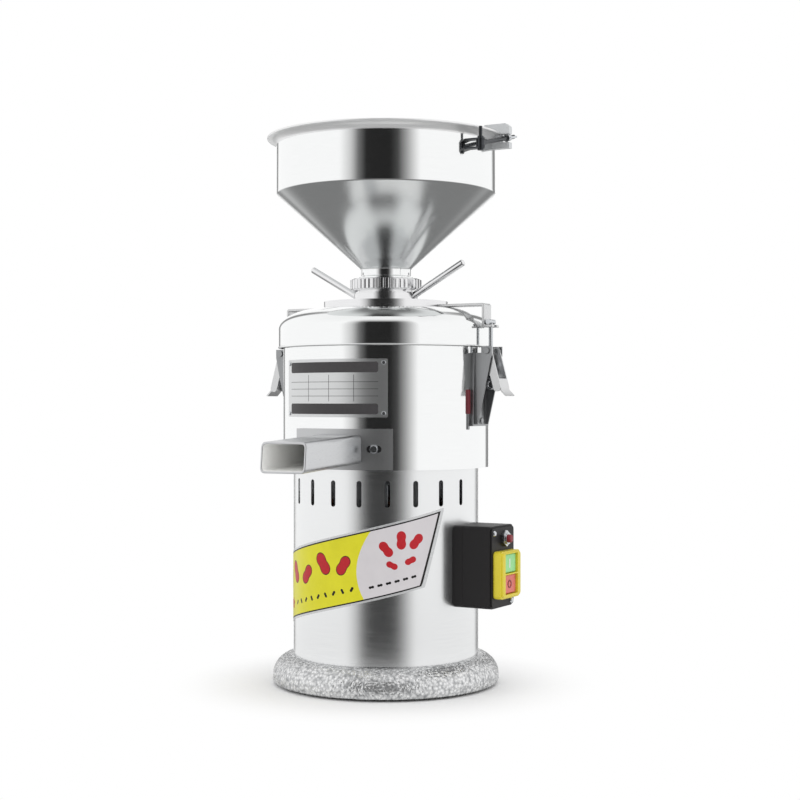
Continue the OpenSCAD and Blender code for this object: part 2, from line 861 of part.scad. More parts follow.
module adjuster() {
    color("gainsboro") difference() {
        union() {
            translate([0, 0, hub_bottom]) cylinder(r = sleeve_r, h = ring_top - hub_bottom);
            translate([0, 0, ring_bottom + 1]) linear_extrude(ring_h - 2)
                polygon(teeth_points(ring_r, ring_r - tooth_h, ring_teeth));
            ring(sleeve_r - 1, ring_r - tooth_h, ring_bottom, ring_top);
        }
        translate([0, 0, hub_bottom - cut]) cylinder(r = tube_r + slip_gap, h = ring_top - hub_bottom + 2 * cut);
        translate([0, 0, spigot_bottom]) cylinder(r = neck_r + slip_gap, h = spigot_h + cut);
    }
}

// Places a piece built along +X on a lock rod's line, from the nut's middle outwards
module at_lock_rods() {
    for (side = [0, 180]) at_azimuth(rod_phi + side)
        translate([lock_r - 3, 0, lock_bottom + rod_root]) rotate([0, 90 - rod_rise, 0]) children();
}

module lock_nut() {
    color("gainsboro") difference() {
        union() {
            ring(thread_r, lock_r - 1.5, lock_bottom, lock_top);
            ring(thread_r, lock_r, lock_bottom + 1.5, lock_top - 1.5);
        }
        at_lock_rods() cylinder(r = rod_r, h = rod_len);
    }
}

module lock_rods() {
    color("gainsboro") at_lock_rods() {
        cylinder(r = rod_r, h = rod_len - 1.5);
        translate([0, 0, rod_len - 1.5]) cylinder(r1 = rod_r, r2 = rod_r - 1.2, h = 1.5);
    }
}

// ---- Hopper and rim clamp ----

module hopper() {
    cone_slope = (bowl_r - neck_r) / cone_h;
    flat_wall = hopper_wall * sqrt(1 + cone_slope * cone_slope);
    neck_in = neck_r - 3;
    bowl_in = bowl_r - hopper_wall;
    inner_cone_top = cone_top + (bowl_in + flat_wall - bowl_r) / cone_slope;
    inner_cone_bottom = neck_top + (neck_in + flat_wall - neck_r) / cone_slope;
    color("gainsboro") rotate_extrude() {
        polygon(concat(
            [[neck_in, spigot_bottom + part_gap], [neck_r, spigot_bottom + part_gap],
             [neck_r, ring_top + part_gap], [neck_r + 2.5, ring_top + part_gap],
             [neck_r + 2.5, ring_top + 2], [neck_r, ring_top + 3.5],
             [neck_r, neck_top], [bowl_r, cone_top], [bowl_r, bowl_top], [bowl_in, bowl_top]],
            [[bowl_in, inner_cone_top], [neck_in, inner_cone_bottom]]
        ));
        translate([neck_r + 0.2, neck_top]) circle(1);
    }
}

// Outline of the flared lip's outside, from the bowl up, in (radius, height)
function flare_points(gap) =
    [for (i = [0:flare_steps]) let (z = flare_h * i / flare_steps) [flare_r(z) + gap, bowl_top + z]];

module lip_bead(gap) {
    translate([lip_r - lip_bead_r, rim_top - lip_bead_r]) circle(lip_bead_r + gap);
}

// The flared lip, a ring on the bowl's upper edge with a bead around it
module hopper_rim() {
    outside = flare_points(0);
    inside = flare_points(-hopper_wall);
    color("gainsboro") rotate_extrude() {
        polygon(concat(outside, [[lip_r - hopper_wall - 1, rim_top]],
            [for (i = [flare_steps - 1:-1:0]) inside[i]]));
        lip_bead(0);
    }
}

// Turns a piece built in the clamp's frame into its place on the rim
module at_clamp() {
    at_azimuth(clamp_phi) children();
}

// Places a piece built along +Z on the swing rod's line, from its pin
module on_swing_line() {
    translate([swing_dist, pin_y, pin_z]) rotate([-90 + swing_rise, 0, 0]) children();
}

module rim_bracket() {
    slot_z = pin_z + (bracket_y - pin_y) * tan(swing_rise);
    slot_half = swing_r + 1.5 + bracket_t / 2 * tan(swing_rise);
    ear_out = swing_dist + bracket_ear;
    color("silver") at_clamp() difference() {
        across_y(bracket_y, bracket_t) polygon([
            [bowl_r - 10, slot_z - slot_half - 7], [ear_out, slot_z - slot_half - 7],
            [ear_out, bracket_top - 4], [ear_out - 5, bracket_top],
            [bowl_r - 12, bracket_top], [bowl_r - 12, rim_top - 12],
            [bowl_r - 10, rim_top - 12]
        ]);
        rotate_extrude() {
            polygon(concat(
                [[0, cone_top], [bowl_r + seat_gap, cone_top]], flare_points(seat_gap),
                [[lip_r + seat_gap, rim_top + seat_gap], [0, rim_top + seat_gap]]
            ));
            lip_bead(seat_gap);
        }
        translate([swing_dist - swing_r - 1, bracket_y - bracket_t, slot_z - slot_half])
            cube([30, 2 * bracket_t, 2 * slot_half]);
    }
}

module pin_eye() {
    eye_out = swing_dist - bowl_r;
    lug_z = eye_h / 2 + part_gap;
    head_h = 2;
    color("silver") at_clamp() {
        for (z = [pin_z + lug_z, pin_z - lug_z - lug_t]) difference() {
            union() {
                translate([bowl_r - 8, pin_y - eye_r, z]) cube([eye_out + 8, 2 * eye_r, lug_t]);
                translate([swing_dist, pin_y, z]) cylinder(r = eye_r, h = lug_t);
            }
            cylinder(r = bowl_r + seat_gap, h = rim_top);
            translate([swing_dist, pin_y, pin_z - 2 * eye_h]) cylinder(r = pin_r, h = 4 * eye_h);
        }
        translate([swing_dist, pin_y, 0]) {
            translate([0, 0, pin_z - lug_z - lug_t]) cylinder(r = pin_r, h = lug_z + lug_t + pin_up);
            translate([0, 0, pin_z + lug_z + lug_t]) cylinder(r = pin_r + 1.5, h = head_h);
            translate([0, 0, pin_z - lug_z - lug_t - head_h]) cylinder(r = pin_r + 1.5, h = head_h);
        }
    }
}

module swing_rod() {
    color("silver") at_clamp() difference() {
        union() {
            translate([swing_dist, pin_y, pin_z - eye_h / 2]) cylinder(r = eye_r, h = eye_h);
            on_swing_line() translate([0, 0, pin_r + 1]) cylinder(r = swing_r, h = swing_len - pin_r - 1);
        }
        translate([swing_dist, pin_y, pin_z - eye_h]) cylinder(r = pin_r + run_gap, h = 2 * eye_h);
    }
}

module wing_nut() {
    nut_at = (bracket_y - pin_y + bracket_t / 2 + part_gap) / cos(swing_rise) + nut_r * tan(swing_rise);
    color("silver") at_clamp() on_swing_line() translate([0, 0, nut_at]) difference() {
        union() {
            cylinder(r1 = nut_r, r2 = nut_r - 0.5, h = 8);
            for (s = [0, 1]) rotate([0, 0, 180 * s]) rotate([90, 0, 0])
                linear_extrude(2.4, center = true) polygon([
                    [3.2, 1.5], [5, 3], [6.6, 8], [7.7, 12.5], [7.2, 14.6], [5.6, 14.6], [3.2, 8]
                ]);
        }
        translate([0, 0, -cut]) cylinder(r = swing_r + run_gap, h = 12);
    }
}

// ---- Spout, nameplate and label ----

module spout_saddle(r_in, r_out) {
    ring_sector(r_in, r_out, flange_z0, flange_z0 + flange_h,
                spout_phi - flange_half, spout_phi + flange_half);
}

module spout_gasket() {
    color("ivory") difference() {
        spout_saddle(drum_r + seat_gap, gasket_r);
        spout_bore(drum_r - 3 * drum_wall);
        spout_bolt_holes(spout_bolt_r, drum_r - cut, gasket_r + cut);
    }
}

module spout_flange() {
    color("gainsboro") difference() {
        spout_saddle(gasket_r + seat_gap, flange_r);
        spout_bore(drum_r - 3 * drum_wall);
        for (s = [-1, 1]) at_azimuth(spout_phi + s * spout_bolt_step)
            along_x(drum_r, flange_r + 3 * cut) translate([0, spout_root_z])
                rotate(90) slot_outline(slot_w, slot_len);
    }
}

module spout() {
    color("gainsboro") difference() {
        at_spout() difference() {
            along_x(drum_r - 2, spout_reach + mouth_lip) round_rect(spout_w, spout_h, spout_corner);
            translate([spout_reach + mouth_lip, 0, -spout_h / 2]) rotate([0, -atan(mouth_lip / spout_h), 0])
                translate([0, -spout_w, -spout_h]) cube([60, 2 * spout_w, 4 * spout_h]);
        }
        cylinder(r = flange_r + seat_gap, h = drum_top);
        spout_bore(drum_r - 3 * drum_wall);
    }
}

module spout_bolts() {
    color("silver") for (s = [-1, 1]) at_azimuth(spout_phi + s * spout_bolt_step)
        translate([0, 0, spout_root_z]) rotate([0, 90, 0]) {
            translate([0, 0, drum_r - drum_wall - 5]) cylinder(r = spout_bolt_r, h = flange_t + gasket_t + drum_wall + 5);
            translate([0, 0, flange_r]) cylinder(r1 = spout_bolt_head_r, r2 = spout_bolt_head_r - 1.5, h = 3.5);
            translate([0, 0, drum_r - drum_wall - 4.3]) hexagon(5.5, 4);
        }
}

module nameplate() {
    color("lightgray") difference() {
        ring_sector(drum_r + seat_gap, drum_r + seat_gap + plate_t, plate_z, plate_z + plate_h,
                    plate_phi, plate_phi + plate_span);
        at_plate_corners() along_x(drum_r - cut, drum_r + 3 * cut) circle(rivet_r);
    }
}

// The four corners of the nameplate, where its rivets are
module at_plate_corners() {
    for (phi = [plate_phi + 2.2, plate_phi + plate_span - 2.2], z = [plate_z + 4.5, plate_z + plate_h - 4.5])
        at_azimuth(phi) translate([0, 0, z]) children();
}

module plate_rivets() {
    color("silver") at_plate_corners() rotate([0, 90, 0]) {
        translate([0, 0, drum_r + seat_gap]) cylinder(r = rivet_r, h = plate_t);
        translate([0, 0, drum_r + seat_gap + plate_t]) cylinder(r1 = rivet_r + 0.8, r2 = rivet_r, h = 1);
    }
}

// The label is a slanted band around the casing. Its lower and upper edges rise steadily with
// the azimuth, and its right end leans back from the upper corner to the lower one.
function label_upper(phi) = label_top_z + label_slope * phi;
function label_lower(phi) =
    let (end_phi = label_phi1 - label_lean, end_z = label_upper(end_phi) - label_h)
    phi <= end_phi ? label_upper(phi) - label_h
        : end_z + (label_upper(label_phi1) - label_tip - end_z) * (phi - end_phi) / label_lean;

module label() {
    r0 = casing_r + 2 * seat_gap;
    r1 = r0 + label_t;
    end_phi = label_phi1 - label_lean;
    azimuths = concat(
        [for (i = [0:label_steps]) label_phi0 + (end_phi - label_phi0) * i / label_steps],
        [for (i = [1:label_end_steps]) end_phi + label_lean * i / label_end_steps]
    );
    n = len(azimuths) - 1;
    points = [for (phi = azimuths, corner = [[r0, 0], [r1, 0], [r1, 1], [r0, 1]])
        [corner[0] * sin(phi), -corner[0] * cos(phi), corner[1] == 1 ? label_upper(phi) : label_lower(phi)]];
    sides = [for (i = [0:n - 1], k = [0:3]) let (a = 4 * i + k, b = 4 * i + (k + 1) % 4)
        each [[a, b, b + 4], [a, b + 4, a + 4]]];
    caps = [[0, 3, 2], [0, 2, 1], [4 * n, 4 * n + 1, 4 * n + 2], [4 * n, 4 * n + 2, 4 * n + 3]];
    color("gold") polyhedron(points, concat(sides, caps));
}

// ---- Switch box ----

module switch_outline(inset) {
    translate([0, switch_z]) round_rect(switch_w - 2 * inset, switch_h - 2 * inset, box_corner - inset);
}

module switch_back() {
    color("#1c1c1c") at_azimuth(switch_phi) difference() {
        along_x(casing_r - 12, casing_r + switch_back_d) switch_outline(0);
        cylinder(r = casing_r, h = casing_top);
        along_x(casing_r + 2, casing_r + switch_back_d + cut) switch_outline(switch_wall);
    }
}

module switch_box() {
    seam = casing_r + switch_back_d;
    color("#1c1c1c") at_azimuth(switch_phi) difference() {
        union() {
            along_x(seam, switch_front - 2) switch_outline(0);
            along_x(seam, switch_front) switch_outline(2);
        }
        along_x(seam - cut, switch_front - switch_wall) switch_outline(switch_wall);
        along_x(switch_front - switch_wall - cut, switch_front + cut) {
            for (z = [start_z, stop_z]) translate([0, z])
                square([button_w + 2 * button_gap, button_h + 2 * button_gap], center = true);
            translate([reset_y, reset_z]) circle(reset_r + 2);
            translate([-switch_w / 2 + 8, switch_z + switch_h / 2 - 8]) circle(2);
            translate([switch_w / 2 - 8, switch_z - switch_h / 2 + 6]) circle(2);
        }
    }
}

module switch_bezel() {
    color("gold") at_azimuth(switch_phi) difference() {
        union() {
            along_x(switch_front, switch_front + bezel_d - 2) translate([0, bezel_z])
                round_rect(bezel_w, bezel_h, 5);
            along_x(switch_front, switch_front + bezel_d) translate([0, bezel_z])
                round_rect(bezel_w - 4, bezel_h - 4, 4);
        }
        along_x(switch_front - cut, switch_front + bezel_d + cut)
            for (z = [start_z, stop_z]) translate([0, z])
                square([button_w + 2 * button_gap, button_h + 2 * button_gap], center = true);
    }
}

module push_button(z) {
    at_azimuth(switch_phi) {
        along_x(button_root, button_face) translate([0, z]) square([button_w, button_h], center = true);
        along_x(button_root - 3, button_root) translate([0, z])
            square([button_w - 8, button_h - 6], center = true);
    }
}

module start_button() {
    color("mediumseagreen") push_button(start_z);
}

module stop_button() {
    color("indianred") push_button(stop_z);
}

module reset_nut() {
    color("silver") at_azimuth(switch_phi) translate([0, reset_y, reset_z]) rotate([0, 90, 0])
        difference() {
            union() {
                translate([0, 0, switch_front]) hexagon(reset_nut_r, reset_nut_h);
                translate([0, 0, switch_front - switch_wall - 8])
                    cylinder(r = reset_r + 2, h = switch_wall + 8 + reset_tube);
            }
            translate([0, 0, switch_front - switch_wall - 9]) cylinder(r = reset_r + run_gap, h = 40);
        }
}

module reset_button() {
    color("crimson") at_azimuth(switch_phi) translate([0, reset_y, reset_z]) rotate([0, 90, 0]) {
        translate([0, 0, switch_front - switch_wall - 8])
            cylinder(r = reset_r, h = switch_wall + 8 + reset_tube + button_travel);
        translate([0, 0, switch_front + reset_tube + button_travel])
            cylinder(r1 = reset_r, r2 = reset_r - 1, h = 1);
    }
}

module switch_screws() {
    color("gray") at_azimuth(switch_phi) {
        for (p = [[-switch_w / 2 + 8, switch_z + switch_h / 2 - 8], [switch_w / 2 - 8, switch_z - switch_h / 2 + 6]])
            translate([0, p[0], p[1]]) rotate([0, 90, 0]) {
                translate([0, 0, switch_front - switch_wall - 6]) cylinder(r = 2, h = switch_wall + 6);
                translate([0, 0, switch_front]) cylinder(r1 = 3.5, r2 = 2.5, h = 1.6);
            }
    }
}

// ---- Draw latches ----

module latch_plate(phi) {
    top_z = pivot_z + 1.5;
    color("gainsboro") at_azimuth(phi) difference() {
        union() {
            along_x(drum_r - 4, drum_r + latch_plate_t) polygon([
                [-21, latch_bottom], [21, latch_bottom], [17, top_z - 4], [-17, top_z - 4]
            ]);
            for (s = [-1, 1]) {
                across_y(s * latch_wall_y, latch_wall_t) polygon([
                    [drum_r - 4, latch_bottom + 2], [drum_r + 5, latch_bottom + 2],
                    [pivot_x + 2, trunnion_z - 3], [pivot_x + 6, pivot_z - 5],
                    [pivot_x + 6, pivot_z + 5], [pivot_x - 7, pivot_z + 5],
                    [pivot_x - 7, top_z - 4], [drum_r - 4, top_z - 4]
                ]);
                across_y(s * (latch_wall_y - 1), 7) translate([pivot_x, pivot_z]) circle(latch_pin_r);
                across_y(s * (latch_wall_y + 2), 2) translate([pivot_x, pivot_z]) circle(latch_pin_r + 1.2);
            }
            translate([0, 0, latch_bottom + 6]) rotate([0, 90, 0]) translate([0, 0, drum_r + latch_plate_t - 0.5])
                cylinder(r1 = 4, r2 = 3, h = 2.5);
        }
        cylinder(r = drum_r, h = drum_top + 40);
    }
}

module latch_lever(phi) {
    color("gainsboro") at_azimuth(phi) difference() {
        union() {
            for (s = [-1, 1]) across_y(s * cheek_y, cheek_t) {
                link_outline([pivot_x, pivot_z], [trunnion_x, trunnion_z], 5);
                link_outline([pivot_x, pivot_z], [tip_x, tip_z], 4.5);
                polygon([[pivot_x, pivot_z], [trunnion_x, trunnion_z], [tip_x, tip_z]]);
            }
            translate([pivot_x, 0, pivot_z]) rotate([0, -lever_lean, 0]) {
                across_y(0, 2 * cheek_y) polygon([
                    [2.5, -web_root], [4.5, -web_root], [4.5, -lever_len - 4], [9, -lever_len - 12],
                    [7, -lever_len - 12], [2.5, -lever_len - 4]
                ]);
            }
        }
        across_y(0, 4 * cheek_y) translate([pivot_x, pivot_z]) circle(latch_pin_r + run_gap);
        across_y(0, 4 * cheek_y) translate([trunnion_x, trunnion_z]) circle(head_r + run_gap);
    }
}

module latch_rod(phi) {
    loop_r = 4.5;
    loop_z = trunnion_z - 17;
    color("silver") at_azimuth(phi) {
        translate([trunnion_x, 0, loop_z + loop_r]) cylinder(r = hook_r, h = head_z - loop_z - loop_r);
        across_y(0, head_len) translate([trunnion_x, head_z]) circle(head_r);
        across_y(0, 2 * cheek_y - cheek_t - 1) translate([trunnion_x, trunnion_z]) circle(5.5);
        across_y(0, 2 * cheek_y + cheek_t) translate([trunnion_x, trunnion_z]) circle(head_r);
        for (z = [trunnion_z + 5, trunnion_z - 9]) translate([trunnion_x, 0, z]) hexagon(4.6, 4);
        translate([trunnion_x, 0, loop_z]) rotate([90, 0, 0]) rotate_extrude()
            translate([loop_r, 0]) circle(1.5);
    }
}

module latch_keeper(phi) {
    lip_out = trunnion_x + 6;
    color("gainsboro") at_azimuth(phi) difference() {
        across_y(0, keeper_w) polygon([
            [disc_r - 17, cover_top], [keeper_drop_x, cover_top], [keeper_drop_x, keeper_lip_top - keeper_t],
            [lip_out, keeper_lip_top - keeper_t], [lip_out, keeper_lip_top],
            [keeper_drop_x + keeper_t, keeper_lip_top], [keeper_drop_x + keeper_t, cover_top + keeper_t - 2],
            [keeper_drop_x + keeper_t - 2, cover_top + keeper_t], [disc_r - 17, cover_top + keeper_t]
        ]);
        translate([trunnion_x - hook_r - 0.8, -hook_r - 0.7, keeper_lip_top - keeper_t - cut])
            cube([20, 2 * hook_r + 1.4, keeper_t + 2 * cut]);
    }
}

// A bar on the drum beside each latch, with a coloured strip
module latch_strips() {
    color("firebrick") for (side = [0, 180]) at_azimuth(latch_phi + side) difference() {
        along_x(drum_r - 5, drum_r + 3) translate([strip_y, latch_bottom + strip_h / 2]) round_rect(strip_w, strip_h, 2);
        cylinder(r = drum_r, h = drum_top);
    }
}

base();
feet();
guard_plate();
guard_screws();
motor_casing();
cable_gland();
lower_shield();
stator();
windings();
upper_shield();
tie_rods();
bearings();
capacitor();
chamber();
floor_screws();
shaft_seal();
cover();
cover_seal();
threaded_hub();
spout_gasket();
spout_flange();
spout();
spout_bolts();
nameplate();
plate_rivets();
label();
switch_back();
switch_box();
switch_bezel();
reset_nut();
switch_screws();
latch_plate(latch_phi);  // latch_plate_a
latch_plate(latch_phi + 180);  // latch_plate_b
latch_strips();
latch_keeper(latch_phi);  // latch_keeper_a
latch_keeper(latch_phi + 180);  // latch_keeper_b
latch_lever(latch_phi);  // latch_lever_a
latch_lever(latch_phi + 180);  // latch_lever_b
latch_rod(latch_phi);  // latch_rod_a
latch_rod(latch_phi + 180);  // latch_rod_b
shaft();
rotor();
fan();
stone_carrier();
lower_stone();
shaft_nut();
stone_holder();
upper_stone();
adjuster();
lock_nut();
lock_rods();
hopper();
hopper_rim();
rim_bracket();
pin_eye();
swing_rod();
wing_nut();
start_button();
stop_button();
reset_button();
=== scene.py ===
"""Looks of an upright nut butter grinder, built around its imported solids.

Sizes are in millimetres and repeat the part's own. Azimuths are in degrees from the front
(-Y), positive towards +X. A piece made along +X is turned to its azimuth afterwards.
"""

import json

import bmesh
import bpy
import numpy as np
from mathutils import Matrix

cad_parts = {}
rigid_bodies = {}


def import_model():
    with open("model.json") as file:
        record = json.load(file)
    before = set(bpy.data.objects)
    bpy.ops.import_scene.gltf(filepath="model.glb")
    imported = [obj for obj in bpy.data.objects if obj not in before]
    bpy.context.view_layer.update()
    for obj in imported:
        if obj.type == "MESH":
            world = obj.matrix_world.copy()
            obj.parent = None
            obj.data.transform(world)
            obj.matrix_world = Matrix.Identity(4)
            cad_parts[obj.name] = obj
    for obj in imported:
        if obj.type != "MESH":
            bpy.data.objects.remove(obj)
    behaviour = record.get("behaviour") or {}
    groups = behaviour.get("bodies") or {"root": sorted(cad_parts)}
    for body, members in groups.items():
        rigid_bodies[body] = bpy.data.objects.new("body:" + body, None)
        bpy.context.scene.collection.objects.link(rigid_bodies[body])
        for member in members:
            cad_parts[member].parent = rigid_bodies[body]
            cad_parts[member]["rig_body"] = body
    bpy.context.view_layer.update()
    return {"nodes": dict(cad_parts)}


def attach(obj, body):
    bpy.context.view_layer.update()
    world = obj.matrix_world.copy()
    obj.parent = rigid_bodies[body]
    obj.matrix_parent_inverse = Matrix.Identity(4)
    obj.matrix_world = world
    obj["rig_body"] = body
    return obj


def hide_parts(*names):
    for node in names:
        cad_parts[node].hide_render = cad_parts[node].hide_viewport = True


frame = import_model()
nodes = frame["nodes"]
MM = 0.001
rng = np.random.default_rng(7)

# ---- Sizes shared with the solids ----

BASE_R, BASE_TOP, BASE_WALL, BASE_CLEAR = 135.0, 35.0, 7.0, 3.0
LOCATOR_R0, LOCATOR_R1, LOCATOR_H, DECK_HOLE_R = 99.0, 104.0, 6.0, 60.0
FOOT_AT, FOOT_BOSS_R, FOOT_TOP, RIB_W, RIB_DEEP = 95.0, 14.0, 6.0, 5.0, 12.0
CASING_R = 110.5
DRUM_R, DRUM_WALL, DRUM_TOP = 123.0, 3.0, 404.0
COVER_R, COVER_WALL, SKIRT_BOTTOM, SHOULDER_Z, COVER_TOP = 128.5, 3.0, 398.5, 421.0, 446.0
DISC_R, HUB_R, LEDGE_W, LEDGE_DROP, LEDGE_LIFT, LEDGE_H = 74.5, 44.0, 3.5, 4.0, 2.5, 3.5
SLEEVE_R0, SLEEVE_R1, LOCK_R, LOCK_BOTTOM = 27.2, 31.8, 38.0, 454.3
RING_BOTTOM, RING_TOP, RING_R, RING_TEETH, TOOTH_H = 467.5, 481.5, 43.0, 44, 2.2
TOOTH_SHARE, TOOTH_FLANK, RING_CHAMFER = 0.54, 0.14, 0.6
NECK_R, NECK_TOP, SPIGOT_BOTTOM, CONE_TOP = 30.0, 493.0, 469.8, 583.0
BOWL_R, BOWL_TOP, LIP_R, RIM_TOP, HOPPER_WALL, COLLAR = 131.0, 640.0, 142.0, 650.0, 1.5, 2.5
ROD_PHI, ROD_R, ROD_LEN, ROD_RISE, ROD_ROOT = 60.0, 4.0, 80.0, 29.0, 4.7
SPOUT_PHI, SPOUT_W, SPOUT_H, SPOUT_WALL, SPOUT_CORNER = -24.0, 54.0, 33.0, 2.5, 6.0
SPOUT_REACH, MOUTH_LIP, SPOUT_FALL, SPOUT_Z, FLANGE_R = 257.0, 5.0, 2.3, 282.0, 129.3
LABEL_R0, LABEL_R1, LABEL_PHI0, LABEL_PHI1, LABEL_LEAN = 110.6, 111.0, -105.0, 37.0, 13.0
LABEL_TOP_Z, LABEL_SLOPE, LABEL_H, LABEL_TIP = 196.6, 0.465, 83.0, 3.0
PLATE_R0, PLATE_R1, PLATE_PHI0, PLATE_PHI1 = 123.05, 124.05, -65.5, 1.5
PLATE_Z0, PLATE_Z1 = 317.5, 383.5
SWITCH_PHI, SWITCH_FRONT, BEZEL_D = 60.0, 156.0, 11.4
START_Z, STOP_Z, BUTTON_W, BUTTON_H = 150.1, 126.3, 31.0, 21.5

# ---- Surfaces ----


def quads(rows, cols, close_rows=False, close_cols=False):
    """Faces of a grid of rows by cols points: each point is joined to the next row and column."""
    i, j = np.meshgrid(
        np.arange(rows if close_rows else rows - 1),
        np.arange(cols if close_cols else cols - 1),
        indexing="ij",
    )
    k, m = (i + 1) % rows, (j + 1) % cols
    return np.stack([i * cols + j, i * cols + m, k * cols + m, k * cols + j], -1).reshape(-1, 4)


def rounded(outline, radius, steps=4):
    """A closed outline with round corners.

    Each corner P gives way to a curve from P + d u to P + d v, where u and v point to its
    neighbours and d is the radius or 0.45 of the shorter edge. A point of the curve is
    (1-t)^2 (P + d u) + 2 t (1-t) P + t^2 (P + d v), which is P + (1-t)^2 d u + t^2 d v.
    """
    p = np.asarray(outline, float)
    back, ahead = np.roll(p, 1, 0) - p, np.roll(p, -1, 0) - p
    lb, la = np.linalg.norm(back, axis=1), np.linalg.norm(ahead, axis=1)
    d = np.minimum(np.broadcast_to(radius, lb.shape), 0.45 * np.minimum(lb, la))[:, None, None]
    t = np.linspace(0, 1, steps + 1)[None, :, None]
    u, v = (back / lb[:, None])[:, None], (ahead / la[:, None])[:, None]
    return (p[:, None] + (1 - t) ** 2 * d * u + t**2 * d * v).reshape(-1, 2)


def arc(cx, cz, rx, rz, start, end, count):
    """Points of an ellipse: (cx + rx cos a, cz + rz sin a), a from start to end in degrees."""
    a = np.radians(np.linspace(start, end, count))
    return np.stack([cx + rx * np.cos(a), cz + rz * np.sin(a)], 1)


def turned(profile, sides=192, reach=None):
    """A closed outline of (radius, height) carried round the Z axis.

    A point is (r sin a, -r cos a, h), a going once round. reach, if given, is a function of
    a and the profile that says how far each point moves inwards and how far down.
    """
    p = np.asarray(profile, float)
    a = np.linspace(0, 2 * np.pi, sides, endpoint=False)[None]
    r, h = p[:, :1] + 0 * a, p[:, 1:2] + 0 * a
    if reach is not None:
        inwards, down = reach(a, p)
        r, h = r - inwards, h - down
    return np.stack([r * np.sin(a), -r * np.cos(a), h], -1).reshape(-1, 3), quads(
        len(p), sides, True, True
    )


def shaft_of(profile, sides=48):
    """A turned piece that is solid on its axis: its open outline starts and ends at radius 0."""
    p = np.asarray(profile, float)
    points, _ = turned(p, sides)
    return points, quads(len(p), sides, False, True)


def slab(outline, low, high):
    """A flat outline of (y, z) given a thickness along X, from low to high."""
    p = np.asarray(outline, float)
    n = len(p)
    points = np.concatenate([np.column_stack([np.full(n, x), p]) for x in (low, high)])
    caps = [list(range(n))[::-1], list(range(n, 2 * n))]
    return points, [*quads(2, n, False, True).tolist(), *caps]


def sheet_between(u, low, high, rows, r_in, r_out):
    """A curved sheet on a barrel, between two heights that follow the azimuth.

    For azimuth u and share s of the way up, z = low(u) + s (high(u) - low(u)), and the point
    is (r sin u, -r cos u, z). The inner and the outer skin are joined along all four edges.
    """
    s = np.linspace(0, 1, rows)[:, None]
    z = low[None] + s * (high - low)[None]
    a = np.radians(u)[None] + 0 * s
    skins = [np.stack([r * np.sin(a), -r * np.cos(a), z], -1) for r in (r_in, r_out)]
    cols = len(u)
    half = rows * cols
    face = quads(rows, cols)
    ring = np.concatenate([
        np.arange(cols - 1), cols - 1 + cols * np.arange(rows - 1),
        half - 1 - np.arange(cols - 1), (rows - 1) * cols - cols * np.arange(rows - 1),
    ])
    ahead = np.roll(ring, -1)
    edge = np.stack([ring, ahead, ahead + half, ring + half], -1)
    return np.concatenate(skins).reshape(-1, 3), np.concatenate([face, face[:, ::-1] + half, edge])


def along_x(points):
    """Turns a piece made along +Z so that it points along +X."""
    x, y, z = points.T
    return np.stack([z, y, -x], 1)


def lean(points, degrees, at=(0, 0, 0)):
    """Turns a piece in its (x, z) plane, from +X towards +Z, and moves it to a point."""
    a = np.radians(degrees)
    x, y, z = points.T
    return np.stack([x * np.cos(a) - z * np.sin(a), y, x * np.sin(a) + z * np.cos(a)], 1) + at


def at_azimuth(points, phi):
    """Turns a piece made along +X to an azimuth: the turn about Z is the azimuth less 90."""
    a = np.radians(phi - 90)
    x, y, z = points.T
    return np.stack([x * np.cos(a) - y * np.sin(a), x * np.sin(a) + y * np.cos(a), z], 1)


# ---- Finishes ----

SMOOTH, COLOURS = {"interpolation_type": "SMOOTHSTEP"}, {"data_type": "RGBA"}
# Most values of a pattern lie between these two, and the roughness runs over them.
PATTERN_LOW, PATTERN_HIGH = 0.25, 0.75


def linear(colour):
    """An sRGB hex colour as linear RGBA: c/12.92 below 0.04045, else ((c+0.055)/1.055)^2.4."""
    c = np.array([int(colour[i : i + 2], 16) for i in (1, 3, 5)]) / 255
    c = np.where(c <= 0.04045, c / 12.92, ((c + 0.055) / 1.055) ** 2.4)
    return (*c.tolist(), 1.0)


def add(tree, kind, settings=None, **inputs):
    """Adds a node, gives it its settings, and sets or links its inputs.

    An input goes by its name, with _ for a space, or by _ and its number.
    """
    made = tree.nodes.new(kind)
    for key, value in (settings or {}).items():
        setattr(made, key, value)
    for key, value in inputs.items():
        socket = made.inputs[int(key[1:]) if key[0] == "_" else key.replace("_", " ")]
        if isinstance(value, bpy.types.NodeSocket):
            tree.links.new(value, socket)
        else:
            socket.default_value = value
    return made


